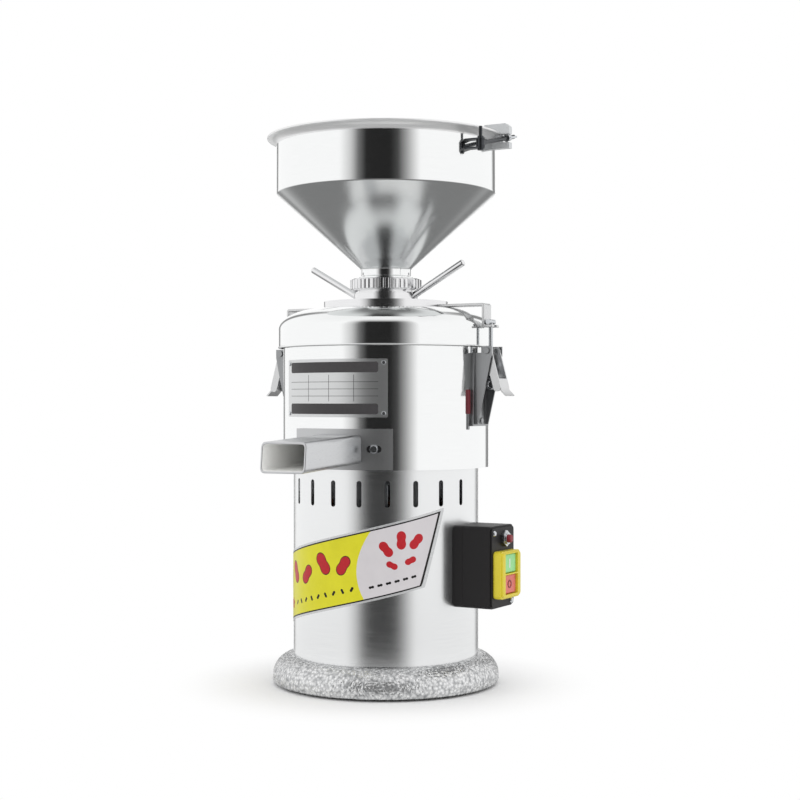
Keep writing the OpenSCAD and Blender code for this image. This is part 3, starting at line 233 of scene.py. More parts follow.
def finish(name, colour, darker=None, rough=(0.3, 0.4), metal=0.0, grain=2.0, stretch=(1, 1, 1),
           bump=0.0, depth=0.02, coat=0.0, ior=1.5, detail=3.0, pattern="NOISE", shine=0.5):
    """A surface whose colour, gloss and relief follow one pattern.

    grain is the pattern's size in millimetres and stretch its length along X, Y and Z in
    grains. The colour runs from darker to colour, the roughness between its two values, and
    depth is the relief in millimetres, weighed by bump. shine is the specular level.
    """
    mat = bpy.data.materials.new(name)
    mat.use_nodes = True
    tree = mat.node_tree
    tree.nodes.clear()
    place = add(tree, "ShaderNodeTexCoord").outputs["Object"]
    scale = tuple(1.0 / (MM * grain * s) for s in stretch)
    place = add(tree, "ShaderNodeMapping", Vector=place, Scale=scale).outputs[0]
    if pattern == "CELLS":
        cells = add(tree, "ShaderNodeTexVoronoi", {"feature": "SMOOTH_F1"}, Vector=place, Scale=1.0,
                    Smoothness=0.4)
        value = cells.outputs["Distance"]
    else:
        value = add(tree, "ShaderNodeTexNoise", Vector=place, Scale=1.0, Detail=detail,
                    Roughness=0.6).outputs["Fac"]
    tone = add(tree, "ShaderNodeMix", COLOURS, _0=value, _6=linear(darker or colour),
               _7=linear(colour)).outputs[2]
    gloss = add(tree, "ShaderNodeMapRange", Value=value, From_Min=PATTERN_LOW,
                From_Max=PATTERN_HIGH, To_Min=rough[0], To_Max=rough[1]).outputs[0]
    shader = add(tree, "ShaderNodeBsdfPrincipled", Base_Color=tone, Roughness=gloss,
                 Metallic=metal, Coat_Weight=coat, Specular_IOR_Level=shine)
    if not metal:
        shader.inputs["IOR"].default_value = ior
    if bump:
        relief = add(tree, "ShaderNodeBump", Height=value, Strength=bump, Distance=depth * MM)
        tree.links.new(relief.outputs[0], shader.inputs["Normal"])
    add(tree, "ShaderNodeOutputMaterial", Surface=shader.outputs[0])
    return mat


# Stainless sheet, spun and then buffed: a near mirror, with faint buffing marks round the barrel.
buffed_stainless = finish("buffed stainless sheet", "#f4f5f5", "#eceded", (0.07, 0.12), 1.0,
                          grain=0.6, stretch=(30, 30, 1), bump=0.15, depth=0.004)
# The casing had a coarser wheel than the drum: its dark band is softer and wider.
wheel_polished = finish("wheel-polished stainless sheet", "#eeefef", "#e2e3e4", (0.19, 0.25), 1.0,
                        grain=0.8, stretch=(30, 30, 1), bump=0.1, depth=0.004)
# The hopper's cone is the same sheet, satin polished: its picture of the floor is blurred.
satin_stainless = finish("satin stainless sheet", "#e2e4e4", "#d6d8d8", (0.16, 0.22), 1.0,
                         grain=0.5, stretch=(24, 24, 1), bump=0.2, depth=0.004)
# The spout is welded from the same sheet and only brushed, so it is greyer than the drum.
brushed_stainless = finish("brushed stainless sheet", "#d4d5d6", "#c3c4c6", (0.26, 0.34), 1.0,
                           grain=0.4, stretch=(20, 20, 1), bump=0.2, depth=0.004)
# Its flange is left as rolled: a dull grey.
mill_stainless = finish("stainless sheet as rolled", "#cbcccd", "#b9babb", (0.34, 0.44), 1.0,
                        grain=0.8, bump=0.2, depth=0.006)
# The spout's bore is painted near white, so that it stays bright from mouth to flange where the
# inside of the tube would lie in shade: painted light.
bore_painted_bright = finish("white paint standing in for light in the bore", "#fafaf8", "#f2f2f0", (0.3, 0.4), grain=3.0,
                      bump=0.05, depth=0.01, coat=0.2)
# Turned steel: fine tool marks round the axis give a slightly streaked shine.
turned_steel = finish("turned stainless steel", "#ededee", "#dededf", (0.12, 0.2), 1.0,
                      grain=0.35, stretch=(40, 40, 1), bump=0.3, depth=0.006)
# Pressed latch steel: rolled sheet, nickel-bright, with grain along the strip.
pressed_steel = finish("pressed steel, nickel plated", "#e0e0e0", "#c9cacb", (0.3, 0.4), 1.0,
                       grain=1.4, stretch=(1, 1, 8), bump=0.06, depth=0.005)
# The latches' back plates are rolled steel without a plating, and duller.
latch_steel = finish("rolled latch steel", "#a8a9aa", "#8d8f91", (0.28, 0.4), 1.0,
                     grain=1.4, stretch=(1, 1, 8), bump=0.06, depth=0.005)
# Zinc-plated fasteners: bright with a faint cloudy tone.
zinc_plate = finish("bright zinc plate", "#d8dadc", "#bfc2c6", (0.15, 0.28), 1.0, grain=1.5,
                    bump=0.15, depth=0.004)
# Galvanised steel: the zinc skin has weathered to an even, pale grey.
galvanised = finish("galvanised steel plate", "#d9dbdc", "#c9cbcd", (0.4, 0.5), 0.4, grain=2.5,
                    bump=0.15, depth=0.006)
# The rim is rolled over a wire and bead-blasted, which leaves it paler than the bowl.
blasted_rim = finish("bead-blasted stainless rim", "#f0f0f0", "#e4e5e5", (0.28, 0.36), 0.55,
                     grain=0.8, stretch=(20, 20, 1), bump=0.1, depth=0.004)
# Blackened steel: the oxide leaves the clamp's rod and pin a dark, waxy grey.
blackened_steel = finish("blackened steel", "#55575a", "#3f4144", (0.3, 0.42), 1.0, grain=1.0,
                         bump=0.2, depth=0.006)
# Hammertone enamel: aluminium flake paint that dries in shallow dimples 3 mm across. Its colour
# follows the dimples, near white in each hollow and grey on the ridges between them: painted shade
# and painted reflection, for light and dark that the relief alone does not give.
hammertone = finish("hammertone silver enamel", "#8e9092", "#fdfdfd", (0.22, 0.36), 0.8,
                    grain=3.4, bump=0.9, depth=0.6, coat=0.1, pattern="CELLS")
cast_aluminium = finish("sand-cast aluminium", "#b9bbbd", "#9c9ea1", (0.45, 0.62), 1.0,
                        grain=0.9, bump=0.5, depth=0.06)
# Anodised and brushed plate: grain of 0.3 mm along the plate's length.
anodised_plate = finish("brushed anodised aluminium", "#dcdddd", "#c8c9ca", (0.28, 0.36), 0.9,
                        grain=0.3, stretch=(30, 30, 1), bump=0.15, depth=0.004)
core_plate = finish("lacquered core plate", "#5c6066", "#3c4046", (0.4, 0.55), 0.8, grain=0.5,
                    stretch=(60, 60, 1), bump=0.5, depth=0.05)
enamelled_wire = finish("enamelled copper wire", "#b8662e", "#7c3c18", (0.22, 0.35), 0.7,
                        grain=0.9, stretch=(20, 20, 1), bump=0.6, depth=0.2, coat=0.5)
ground_steel = finish("ground bearing steel", "#c4c8cc", "#aeb2b8", (0.14, 0.22), 1.0, grain=0.3,
                      stretch=(40, 40, 1), bump=0.2, depth=0.003)
drawn_can = finish("drawn aluminium can", "#cfd0d0", "#bcbdbe", (0.3, 0.4), 1.0, grain=0.6,
                   stretch=(1, 1, 20), bump=0.2, depth=0.005)
# Corundum stone: pale grit of about 1 mm bound together, open and quite matt.
corundum = finish("bonded corundum stone", "#d9d4c8", "#a9a498", (0.8, 0.95), grain=0.9, bump=0.8,
                  depth=0.3, detail=6.0)
silicone = finish("grey food-grade silicone", "#4e4e50", "#434345", (0.45, 0.6), grain=2.5,
                  bump=0.15, depth=0.02, ior=1.41, shine=0.3)
nitrile = finish("oil-proof nitrile rubber", "#3a2018", "#281410", (0.5, 0.7), grain=1.2, bump=0.3,
                 depth=0.03)
foot_rubber = finish("moulded black rubber", "#26262a", "#18181a", (0.6, 0.8), grain=0.8, bump=0.4,
                     depth=0.04)
# Moulded ABS has a fine spark-eroded texture of about 0.4 mm.
black_abs = finish("textured black ABS", "#232122", "#1a191a", (0.4, 0.52), grain=0.4, bump=0.35,
                   depth=0.03, ior=1.53, shine=0.22)
yellow_abs = finish("moulded yellow ABS", "#e2d23e", "#d8c634", (0.25, 0.36), grain=9.0, bump=0.1,
                    depth=0.02, ior=1.53, shine=0.3)
green_abs = finish("green polycarbonate", "#9fe39a", "#8cd68c", (0.18, 0.28),
                   grain=4.0, bump=0.08, depth=0.02, ior=1.58, shine=0.35)
red_abs = finish("red polycarbonate", "#e27468", "#d4645a", (0.18, 0.28), grain=4.0,
                 bump=0.08, depth=0.02, ior=1.58, shine=0.35)
dark_red = finish("dark red nylon", "#8c1f2c", "#701722", (0.3, 0.45), grain=1.5, bump=0.2,
                  depth=0.02)
strip_red = finish("pressed red plastic strip", "#7c2a34", "#64212a", (0.4, 0.55), grain=1.0,
                   bump=0.3, depth=0.03)
white_ink = finish("white printing ink", "#f4f4f0", "#e8e8e4", (0.4, 0.5), grain=1.0)
nylon = finish("moulded black nylon", "#202022", "#17171a", (0.45, 0.6), grain=0.6, bump=0.3,
               depth=0.03)
# Printed film: a glossy clear face over silver film and flat inks.
silver_film = finish("silver polyester film", "#d2d3d4", "#c6c7c8", (0.22, 0.3), 0.3, grain=6.0,
                     bump=0.05, depth=0.02)
yellow_ink = finish("yellow ink under film", "#e6e12a", "#d3cd1c", (0.28, 0.36), grain=18.0,
                    shine=0.3)
grey_ink = finish("pale grey ink under film", "#dad6d8", "#cfcbce", (0.28, 0.36), grain=18.0,
                  shine=0.3)
black_ink = finish("black ink under film", "#262424", "#1c1a1a", (0.28, 0.36), grain=4.0, shine=0.2)
dark_grey_ink = finish("dark grey ink on metal", "#4c4a4b", "#403e40", (0.4, 0.5), grain=4.0,
                       shine=0.2)
red_ink = finish("red ink under film", "#c8262e", "#a81c26", (0.28, 0.36), grain=3.0, shine=0.25)

FINISHES = (
    (hammertone, "base"),
    (foot_rubber, "feet"),
    (buffed_stainless, "guard_plate chamber cover hopper"),
    (wheel_polished, "motor_casing"),
    (brushed_stainless, "spout"),
    (galvanised, "rim_bracket"),
    (blasted_rim, "hopper_rim"),
    (mill_stainless, "spout_flange"),
    (turned_steel, "threaded_hub adjuster lock_nut lock_rods stone_carrier stone_holder"),
    (ground_steel, "shaft bearings"),
    (cast_aluminium, "lower_shield upper_shield"),
    (core_plate, "stator rotor"),
    (enamelled_wire, "windings"),
    (drawn_can, "capacitor"),
    (corundum, "lower_stone upper_stone"),
    (silicone, "cover_seal spout_gasket"),
    (nitrile, "shaft_seal"),
    (nylon, "cable_gland fan"),
    (black_abs, "switch_back switch_box"),
    (yellow_abs, "switch_bezel"),
    (green_abs, "start_button"),
    (red_abs, "stop_button"),
    (dark_red, "reset_button"),
    (strip_red, "latch_strips"),
    (anodised_plate, "nameplate"),
    (silver_film, "label"),
    (latch_steel, "latch_plate_a latch_plate_b"),
    (pressed_steel, "latch_keeper_a latch_keeper_b latch_lever_a latch_lever_b"),
    (zinc_plate, "guard_screws tie_rods floor_screws spout_bolts switch_screws plate_rivets "
                 "reset_nut shaft_nut latch_rod_a latch_rod_b wing_nut"),
    (blackened_steel, "pin_eye swing_rod"),
)
finish_of = {node: made for made, names in FINISHES for node in names.split()}
for node, solid in nodes.items():
    solid.data.materials.clear()
    solid.data.materials.append(finish_of[node])

# In degrees: the turn that makes an edge sharp, the same on a barrel, the turn below which flat
# faces become one, and the lean up to which a face counts as round.
SHARP_ANGLE, BARREL_ANGLE, FLAT_ANGLE, ROUND_LEAN = 32, 30, 0.6, 6


def shaded(mesh, angle):
    """Smooth shading, broken where two faces meet at more than the angle."""
    mesh.polygons.foreach_set("use_smooth", np.ones(len(mesh.polygons), bool))
    mesh.set_sharp_from_angle(angle=np.radians(angle))


def piece(name, parts, body, made, stands_for=(), angle=35):
    """Joins surfaces into one mesh, merges its seams and poles, and turns its faces outwards.

    parts are pairs of points in millimetres and faces, with made as the finish, or triples
    with a finish each. stands_for names the solids that the piece hides.
    """
    points, faces, finishes, chosen, start = [], [], [made], [], 0
    for p, f, *own in parts:
        points.append(np.asarray(p))
        faces += [(np.asarray(face) + start).tolist() for face in f]
        start += len(p)
        if own and own[0] not in finishes:
            finishes.append(own[0])
        chosen += [finishes.index(own[0]) if own else 0] * len(f)
    mesh = bpy.data.meshes.new(name)
    mesh.from_pydata((np.concatenate(points) * MM).tolist(), [], faces)
    mesh.polygons.foreach_set("material_index", chosen)
    work = bmesh.new()
    work.from_mesh(mesh)
    bmesh.ops.remove_doubles(work, verts=work.verts, dist=1e-7)
    bmesh.ops.dissolve_degenerate(work, edges=work.edges, dist=1e-8)
    bmesh.ops.recalc_face_normals(work, faces=work.faces)
    work.to_mesh(mesh)
    work.free()
    made_piece = bpy.data.objects.new(name, mesh)
    bpy.context.scene.collection.objects.link(made_piece)
    for one in finishes:
        mesh.materials.append(one)
    shaded(mesh, angle)
    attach(made_piece, body)
    if stands_for:
        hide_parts(*stands_for)


def merged(node, join_flats):
    """A copy of a solid's mesh with its points merged, and its flat faces joined if asked."""
    mesh = nodes[node].data.copy()
    work = bmesh.new()
    work.from_mesh(mesh)
    bmesh.ops.remove_doubles(work, verts=work.verts, dist=1e-6)
    if join_flats:
        bmesh.ops.dissolve_limit(work, angle_limit=np.radians(FLAT_ANGLE), verts=work.verts,
                                 edges=work.edges)
    work.to_mesh(mesh)
    work.free()
    return mesh


def stand_in(node, mesh, radius=0.0):
    """Puts a finished mesh in a solid's place, with a small radius on its edges if one is given."""
    copy = bpy.data.objects.new(node + "_finished", mesh)
    bpy.context.scene.collection.objects.link(copy)
    if radius:
        edge = copy.modifiers.new("edges", "BEVEL")
        edge.width, edge.segments, edge.limit_method = radius * MM, 3, "ANGLE"
        edge.angle_limit, edge.harden_normals = np.radians(SHARP_ANGLE), True
    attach(copy, nodes[node]["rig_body"])
    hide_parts(node)


def softened(node, radius):
    """A copy of a solid with a small radius, in millimetres, on its sharp edges."""
    mesh = merged(node, True)
    shaded(mesh, SHARP_ANGLE)
    stand_in(node, mesh, radius)


def barrel(node):
    """A copy of a rolled or bored solid that shades as a true cylinder.

    Where a face's normal leans less than 6 degrees from the radius at a corner, that corner's
    normal is the radius itself with the face's own rise, pointing to the face's side. A face
    that looks straight up or down keeps its own normal.
    """
    mesh = merged(node, False)
    shaded(mesh, BARREL_ANGLE)
    count = len(mesh.loops)
    at, own = np.zeros(count, int), np.zeros(count * 3)
    mesh.loops.foreach_get("vertex_index", at)
    mesh.corner_normals.foreach_get("vector", own)
    points = np.zeros(len(mesh.vertices) * 3)
    mesh.vertices.foreach_get("co", points)
    faces = np.zeros(len(mesh.polygons) * 3)
    mesh.polygons.foreach_get("normal", faces)
    size = np.zeros(len(mesh.polygons), int)
    mesh.polygons.foreach_get("loop_total", size)
    flat = np.repeat(faces.reshape(-1, 3), size, 0)
    own = own.reshape(-1, 3)
    radius = points.reshape(-1, 3)[at] * (1, 1, 0)
    radius /= np.maximum(np.linalg.norm(radius, axis=1), 1e-9)[:, None]
    across = np.linalg.norm(flat[:, :2], axis=1)
    lean_cos = (flat * radius).sum(1) / np.maximum(across, 1e-9)
    is_round = (np.abs(lean_cos) > np.cos(np.radians(ROUND_LEAN))) & (across > 0.02)
    true = radius * (np.sign(lean_cos) * across)[:, None] + flat * (0, 0, 1)
    mesh.normals_split_custom_set(np.where(is_round[:, None], true, own).tolist())
    stand_in(node, mesh)


def tower(w, h, corner, path, steps=5):
    """A piece along +X whose section is a rectangle w by h with round corners.

    path is rows of (x, inset). At each row the rectangle is smaller by the inset on every
    side, and the first and last rows are closed by a flat face.
    """
    loops = []
    for x, inset in path:
        y, z = w / 2 - inset, h / 2 - inset
        loop = rounded([[-y, -z], [y, -z], [y, z], [-y, z]], max(corner - inset, 0.05), steps)
        loops.append(np.column_stack([np.full(len(loop), x), loop]))
    n = len(loops[0])
    last = (len(path) - 1) * n
    caps = [list(range(n))[::-1], list(range(last, last + n))]
    return np.concatenate(loops), [*quads(len(path), n, False, True).tolist(), *caps]


# ---- Base: hammered casting, with its foot bosses and ribs underneath ----

base_in, deck_z = BASE_R - BASE_WALL, BASE_TOP - BASE_WALL
bulge = BASE_R - CASING_R
SHOULDER_ROWS, BASE_SIDES, DIMPLE_DEPTH, WAVES = 58, 960, 0.55, 16
# How often a wave goes round, and how many radians a millimetre it climbs at most.
TURNS_LOW, TURNS_HIGH, CLIMB_MOST, PHASE_MOST = 90, 235, 1.7, 6.28
# The round lower edge: how far each point lies inside the rim and above the bottom.
TOE = ((2.2, 0), (0.8, 0.9), (0, 3))
base_skin = np.concatenate([
    [[base_in, BASE_CLEAR], *([BASE_R - inside, BASE_CLEAR + above] for inside, above in TOE)],
    arc(CASING_R, BASE_TOP - bulge, bulge, bulge, -6, 86, SHOULDER_ROWS),
    [[CASING_R, BASE_TOP], [LOCATOR_R1, BASE_TOP], [LOCATOR_R1, BASE_TOP + LOCATOR_H],
     [LOCATOR_R0, BASE_TOP + LOCATOR_H], [LOCATOR_R0, BASE_TOP], [DECK_HOLE_R, BASE_TOP],
     [DECK_HOLE_R, deck_z]],
    arc(CASING_R, BASE_TOP - bulge, bulge - BASE_WALL, bulge - BASE_WALL, 90, 0, 10),
])
waves = rng.integers(TURNS_LOW, TURNS_HIGH, WAVES) * rng.choice([-1, 1], WAVES)
climb, shift = rng.uniform(-CLIMB_MOST, CLIMB_MOST, WAVES), rng.uniform(0, PHASE_MOST, WAVES)


def hammered(a, p):
    """Dimples: the depth times |sum of the waves| / 4, and nowhere more than the depth.

    A wave is cos(n a + m s + c) with a the azimuth and s the length along the profile. The
    relief is zero where the sum changes sign, which leaves the sharp ridges between dimples. A
    point moves square to the profile, against its outward normal (dz, -dr). The hidden faces
    stay smooth.
    """
    s = np.concatenate([[0], np.cumsum(np.linalg.norm(np.diff(p, axis=0), axis=1))])[:, None]
    total = sum(np.cos(n * a + m * s + c) for n, m, c in zip(waves, climb, shift))
    shows = (p[:, :1] > CASING_R - 0.5) & (p[:, 1:2] > BASE_CLEAR + 0.5)
    outer = np.arange(len(p))[:, None] < SHOULDER_ROWS + 4
    deep = DIMPLE_DEPTH * np.minimum(np.abs(total) / 4, 1) * (shows & outer)
    along = np.gradient(p, axis=0)
    along /= np.maximum(np.linalg.norm(along, axis=1), 1e-9)[:, None]
    return deep * along[:, 1:2], -deep * along[:, :1]


parts = [turned(base_skin, BASE_SIDES, hammered)]
boss, boss_faces = shaft_of([
    [0, FOOT_TOP], [FOOT_BOSS_R - 0.6, FOOT_TOP], [FOOT_BOSS_R, FOOT_TOP + 0.6],
    [FOOT_BOSS_R, deck_z + 1], [0, deck_z + 1]])
rib, rib_faces = slab([
    [-RIB_W / 2, deck_z - RIB_DEEP], [RIB_W / 2, deck_z - RIB_DEEP], [RIB_W / 2, deck_z + 1],
    [-RIB_W / 2, deck_z + 1]], FOOT_AT, base_in - 4)
for quarter in range(4):
    for points, faces in ((boss + (FOOT_AT, 0, 0), boss_faces), (rib, rib_faces)):
        parts.append((at_azimuth(points, 45 + 90 * quarter), faces))
piece("base_casting", parts, "root", hammertone, ["base"], angle=50)

# ---- Solids that are only dressed: rolled sheet, and edges with their real radius ----

for node in ("motor_casing", "chamber", "spout_gasket"):
    barrel(node)
EDGE_RADII = (
    (0.25, "pin_eye latch_plate_a latch_plate_b latch_lever_a latch_lever_b"),
    (0.3, "guard_plate swing_rod plate_rivets switch_screws"),
    (0.35, "wing_nut"),
    (0.4, "spout_bolts reset_nut reset_button latch_rod_a latch_rod_b"),
    (0.5, "cable_gland threaded_hub lock_nut rim_bracket switch_back"),
    (0.6, "feet latch_keeper_a latch_keeper_b"),
    (0.7, "switch_box"),
    (0.8, "spout_flange switch_bezel"),
)
for radius, names in EDGE_RADII:
    for node in names.split():
        softened(node, radius)

# ---- Cover: spun lid with its beaded skirt and the seal's ledge inside ----

dome_r, dome_h = COVER_R - DISC_R, COVER_TOP - SHOULDER_Z
SKIRT_BEAD = 1.0
cover_skin = np.concatenate([
    arc(COVER_R, SKIRT_BOTTOM + SKIRT_BEAD, SKIRT_BEAD, SKIRT_BEAD, -90, 90, 9),
    [[COVER_R, SKIRT_BOTTOM + 2.3], [COVER_R, SHOULDER_Z - 4]],
    arc(DISC_R, SHOULDER_Z, dome_r, dome_h, 0, 90, 40),
    [[HUB_R + 0.1, COVER_TOP], [HUB_R + 0.1, COVER_TOP - COVER_WALL]],
    arc(DISC_R, SHOULDER_Z, dome_r - COVER_WALL, dome_h - COVER_WALL, 90, 0, 24),
    [[COVER_R - COVER_WALL, SKIRT_BOTTOM]],
])
seat_r, wall_r = DRUM_R - DRUM_WALL - 4, COVER_R - COVER_WALL + 0.5
low_z, seal_z = DRUM_TOP - LEDGE_DROP, DRUM_TOP + LEDGE_LIFT
ledge = [[seat_r, low_z], [seat_r + LEDGE_W, low_z], [seat_r + LEDGE_W, seal_z],
         [wall_r, seal_z], [wall_r, seal_z + LEDGE_H], [seat_r, seal_z + LEDGE_H]]
piece("cover_lid", [turned(cover_skin), turned(rounded(ledge, 0.5))], "root", buffed_stainless,
      ["cover"], angle=30)

# ---- Adjuster and lock nut ----

BORE_GAP, SEAT_GAP = 0.2, 0.3
hub_z, root_r, chamfer = DRUM_TOP + 4, RING_R - TOOTH_H, RING_CHAMFER
ring_skin = [
    [SLEEVE_R0, hub_z], [SLEEVE_R1, hub_z], [SLEEVE_R1, RING_BOTTOM],
    [root_r - chamfer, RING_BOTTOM], [root_r, RING_BOTTOM + chamfer], [root_r, RING_BOTTOM + 1],
    [RING_R - chamfer, RING_BOTTOM + 1], [RING_R, RING_BOTTOM + 1 + chamfer],
    [RING_R, RING_TOP - 1 - chamfer], [RING_R - chamfer, RING_TOP - 1], [root_r, RING_TOP - 1],
    [root_r, RING_TOP - chamfer], [root_r - chamfer, RING_TOP], [NECK_R + BORE_GAP, RING_TOP],
    [NECK_R + BORE_GAP, SPIGOT_BOTTOM - SEAT_GAP], [SLEEVE_R0, SPIGOT_BOTTOM - SEAT_GAP],
]


def toothed(a, p):
    """Gaps between the ring's teeth, with a flat floor at the root circle.

    With t the share of a tooth's pitch, the gap g rises from 0 at t 0.54 to 1 at t 0.68, stays
    1 up to t 0.86 and is 0 again at t 1. A rise w becomes w^2 (3 - 2w), which has no corners. A
    point outside the root circle moves in by g times its height above it.
    """
    t = (a * RING_TEETH / (2 * np.pi)) % 1
    rise = np.clip((t - TOOTH_SHARE) / TOOTH_FLANK, 0, 1) * np.clip((1 - t) / TOOTH_FLANK, 0, 1)
    gap = rise * rise * (3 - 2 * rise)
    return gap * np.maximum(p[:, :1] - root_r, 0), 0


piece("adjuster_ring", [turned(ring_skin, RING_TEETH * 14, toothed)], "adjuster", turned_steel,
      ["adjuster"], angle=28)
ROD_END_R = 2.0
rod = np.concatenate([
    [[0, 0], [ROD_R, 0], [ROD_R, ROD_LEN - ROD_END_R - 0.4]],
    arc(ROD_R - ROD_END_R, ROD_LEN - ROD_END_R, ROD_END_R, ROD_END_R, 0, 90, 7), [[0, ROD_LEN]],
])
points, faces = shaft_of(rod)
points = lean(along_x(points) * (1, 1, -1), ROD_RISE, (LOCK_R - 3, 0, LOCK_BOTTOM + ROD_ROOT))
piece("lock_rods_finished", [(at_azimuth(points, ROD_PHI + side), faces) for side in (0, 180)],
      "lock_nut", turned_steel, ["lock_rods"])

# ---- Hopper: spigot, cone, bowl and flared lip ----

slope = (BOWL_R - NECK_R) / (CONE_TOP - NECK_TOP)
flat_wall = HOPPER_WALL * (1 + slope * slope) ** 0.5
bowl_in, neck_in = BOWL_R - HOPPER_WALL, NECK_R - 3
collar_r, collar_z = NECK_R + COLLAR, RING_TOP + SEAT_GAP
hopper_skin = [
    [neck_in, SPIGOT_BOTTOM], [NECK_R, SPIGOT_BOTTOM], [NECK_R, collar_z],
    [collar_r, collar_z], [collar_r, RING_TOP + 2], [NECK_R, RING_TOP + 3.5],
    [NECK_R, NECK_TOP], [BOWL_R, CONE_TOP], [BOWL_R, BOWL_TOP], [bowl_in, BOWL_TOP],
    [bowl_in, CONE_TOP + (bowl_in + flat_wall - BOWL_R) / slope],
    [neck_in, NECK_TOP + (neck_in + flat_wall - NECK_R) / slope],
]
# The radius at each of these points, in the same order.
bends = np.array([0.3, 0.4, 0.2, 0.3, 0.5, 0.5, 1.6, 1.4, 0.1, 0.1, 1.2, 1.6])
BEND_STEPS, HOPPER_SIDES = 6, 256
points, faces = turned(rounded(hopper_skin, bends, BEND_STEPS), HOPPER_SIDES)
# The cone's faces run from the middle of its lower bend to the middle of its upper one.
row = np.arange(len(faces)) // HOPPER_SIDES
per_bend = BEND_STEPS + 1
on_cone = (row >= 6 * per_bend + BEND_STEPS // 2) & (row < 7 * per_bend + BEND_STEPS // 2)
piece("hopper_body", [(points, faces[~on_cone]), (points, faces[on_cone], satin_stainless)],
      "hopper", buffed_stainless, ["hopper"], angle=40)
# Two grub screws sit in the hopper's neck, just above the ring.
GRUB_PHI, GRUB_Z, GRUB_R, GRUB_IN, KEY_R, KEY_DEEP = 65.0, 487.2, 1.5, 1.4, 0.8, 0.7
out_r, key_r = NECK_R + 0.1, NECK_R - KEY_DEEP
points, faces = shaft_of([[0, NECK_R - GRUB_IN], [GRUB_R, NECK_R - GRUB_IN], [GRUB_R, out_r],
                          [KEY_R, out_r], [KEY_R - 0.1, key_r], [0, key_r]], 24)
points = along_x(points) * (1, 1, -1) + (0, 0, GRUB_Z)
piece("neck_screws", [(at_azimuth(points, phi), faces) for phi in (-GRUB_PHI, GRUB_PHI)],
      "hopper", blackened_steel)
# The lip flares as the square of the height, and ends in a bead.
BEAD_R = 1.6
lip_h = RIM_TOP - BOWL_TOP
z = np.linspace(0, lip_h - BEAD_R - 1, 12)
flare = np.column_stack([BOWL_R + (LIP_R - BOWL_R) * (z / lip_h) ** 2, BOWL_TOP + z])
bead = arc(LIP_R - BEAD_R, RIM_TOP - BEAD_R, BEAD_R, BEAD_R, -50, 190, 18)
lip_skin = np.concatenate([flare, bead, flare[::-1] - (HOPPER_WALL, 0)])
piece("hopper_lip", [turned(lip_skin, 256)], "hopper", blasted_rim,
      ["hopper_rim"], angle=40)

# ---- Spout: square tube with a slanted mouth ----


def spout_loop(w, h, corner, mouth, cut_back=0.0):
    """One loop of the spout: on the flange's cylinder, or on the slanted plane of the mouth.

    The mouth is at x = reach + lip (1/2 - z/h), less the cut back. At the flange, x is where
    the tilted tube meets the cylinder: D + (sqrt(R^2 - y^2) - D - z sin f)/cos f, with R and D
    the radius of the flange and of the drum, and f the tilt.
    """
    loop = rounded([[-w / 2, -h / 2], [w / 2, -h / 2], [w / 2, h / 2], [-w / 2, h / 2]], corner, 7)
    y, z = loop.T
    f = np.radians(SPOUT_FALL)
    at_flange = DRUM_R + ((FLANGE_R**2 - y**2) ** 0.5 - DRUM_R - z * np.sin(f)) / np.cos(f)
    at_mouth = SPOUT_REACH + MOUTH_LIP * (0.5 - z / SPOUT_H) - cut_back
    return np.column_stack([at_mouth if mouth else at_flange, y, z])


in_w, in_h = SPOUT_W - 2 * SPOUT_WALL, SPOUT_H - 2 * SPOUT_WALL
# The mouth's edge is round: each loop has an inset from the wall's face and a cut back.
BORE_CORNER, MOUTH_EDGE = 4.5, ((0.0, 0.7), (0.2, 0.2), (0.7, 0.0))
loops = [spout_loop(SPOUT_W, SPOUT_H, SPOUT_CORNER, False)]
loops += [spout_loop(SPOUT_W - 2 * inset, SPOUT_H - 2 * inset, SPOUT_CORNER - inset, True, cut)
          for inset, cut in MOUTH_EDGE]
loops += [spout_loop(in_w + 2 * inset, in_h + 2 * inset, BORE_CORNER + inset, True, cut)
          for inset, cut in MOUTH_EDGE[::-1]]
loops.append(spout_loop(in_w, in_h, BORE_CORNER, False))
points = np.concatenate(loops) - (DRUM_R, 0, 0)
points = lean(points, -SPOUT_FALL, (DRUM_R, 0, SPOUT_Z))
points = at_azimuth(points, SPOUT_PHI)
faces = quads(len(loops), len(loops[0]), True, True)
row = np.arange(len(faces)) // len(loops[0])
# The bore's faces take the near-white paint that stands in for light inside the tube.
in_bore = (row == 5) | (row == 6)
piece("spout_tube", [(points, faces[~in_bore]), (points, faces[in_bore], bore_painted_bright)],
      "root", brushed_stainless, ["spout"], angle=30)

# ---- Nameplate: a bare plate with two dark bars and ruled lines ----


def strip(phi0, phi1, z0, z1, corner=0.05, count=48):
    """A band between two azimuths whose corners have a radius c.

    Its half height is H - c + sqrt(c^2 - e^2), where e is how far a point lies past the start
    of the corner, along the barrel. The azimuths lie closer together towards the ends.
    """
    t = np.sin(np.linspace(-np.pi / 2, np.pi / 2, count))
    length = np.radians(phi1 - phi0) / 2 * PLATE_R1
    past = np.clip(np.abs(t) * length - (length - corner), 0, corner)
    half = (z1 - z0) / 2 - corner + np.sqrt(corner**2 - past**2)
    u = (phi0 + phi1) / 2 + (phi1 - phi0) / 2 * t
    return u, (z0 + z1) / 2 - half, (z0 + z1) / 2 + half


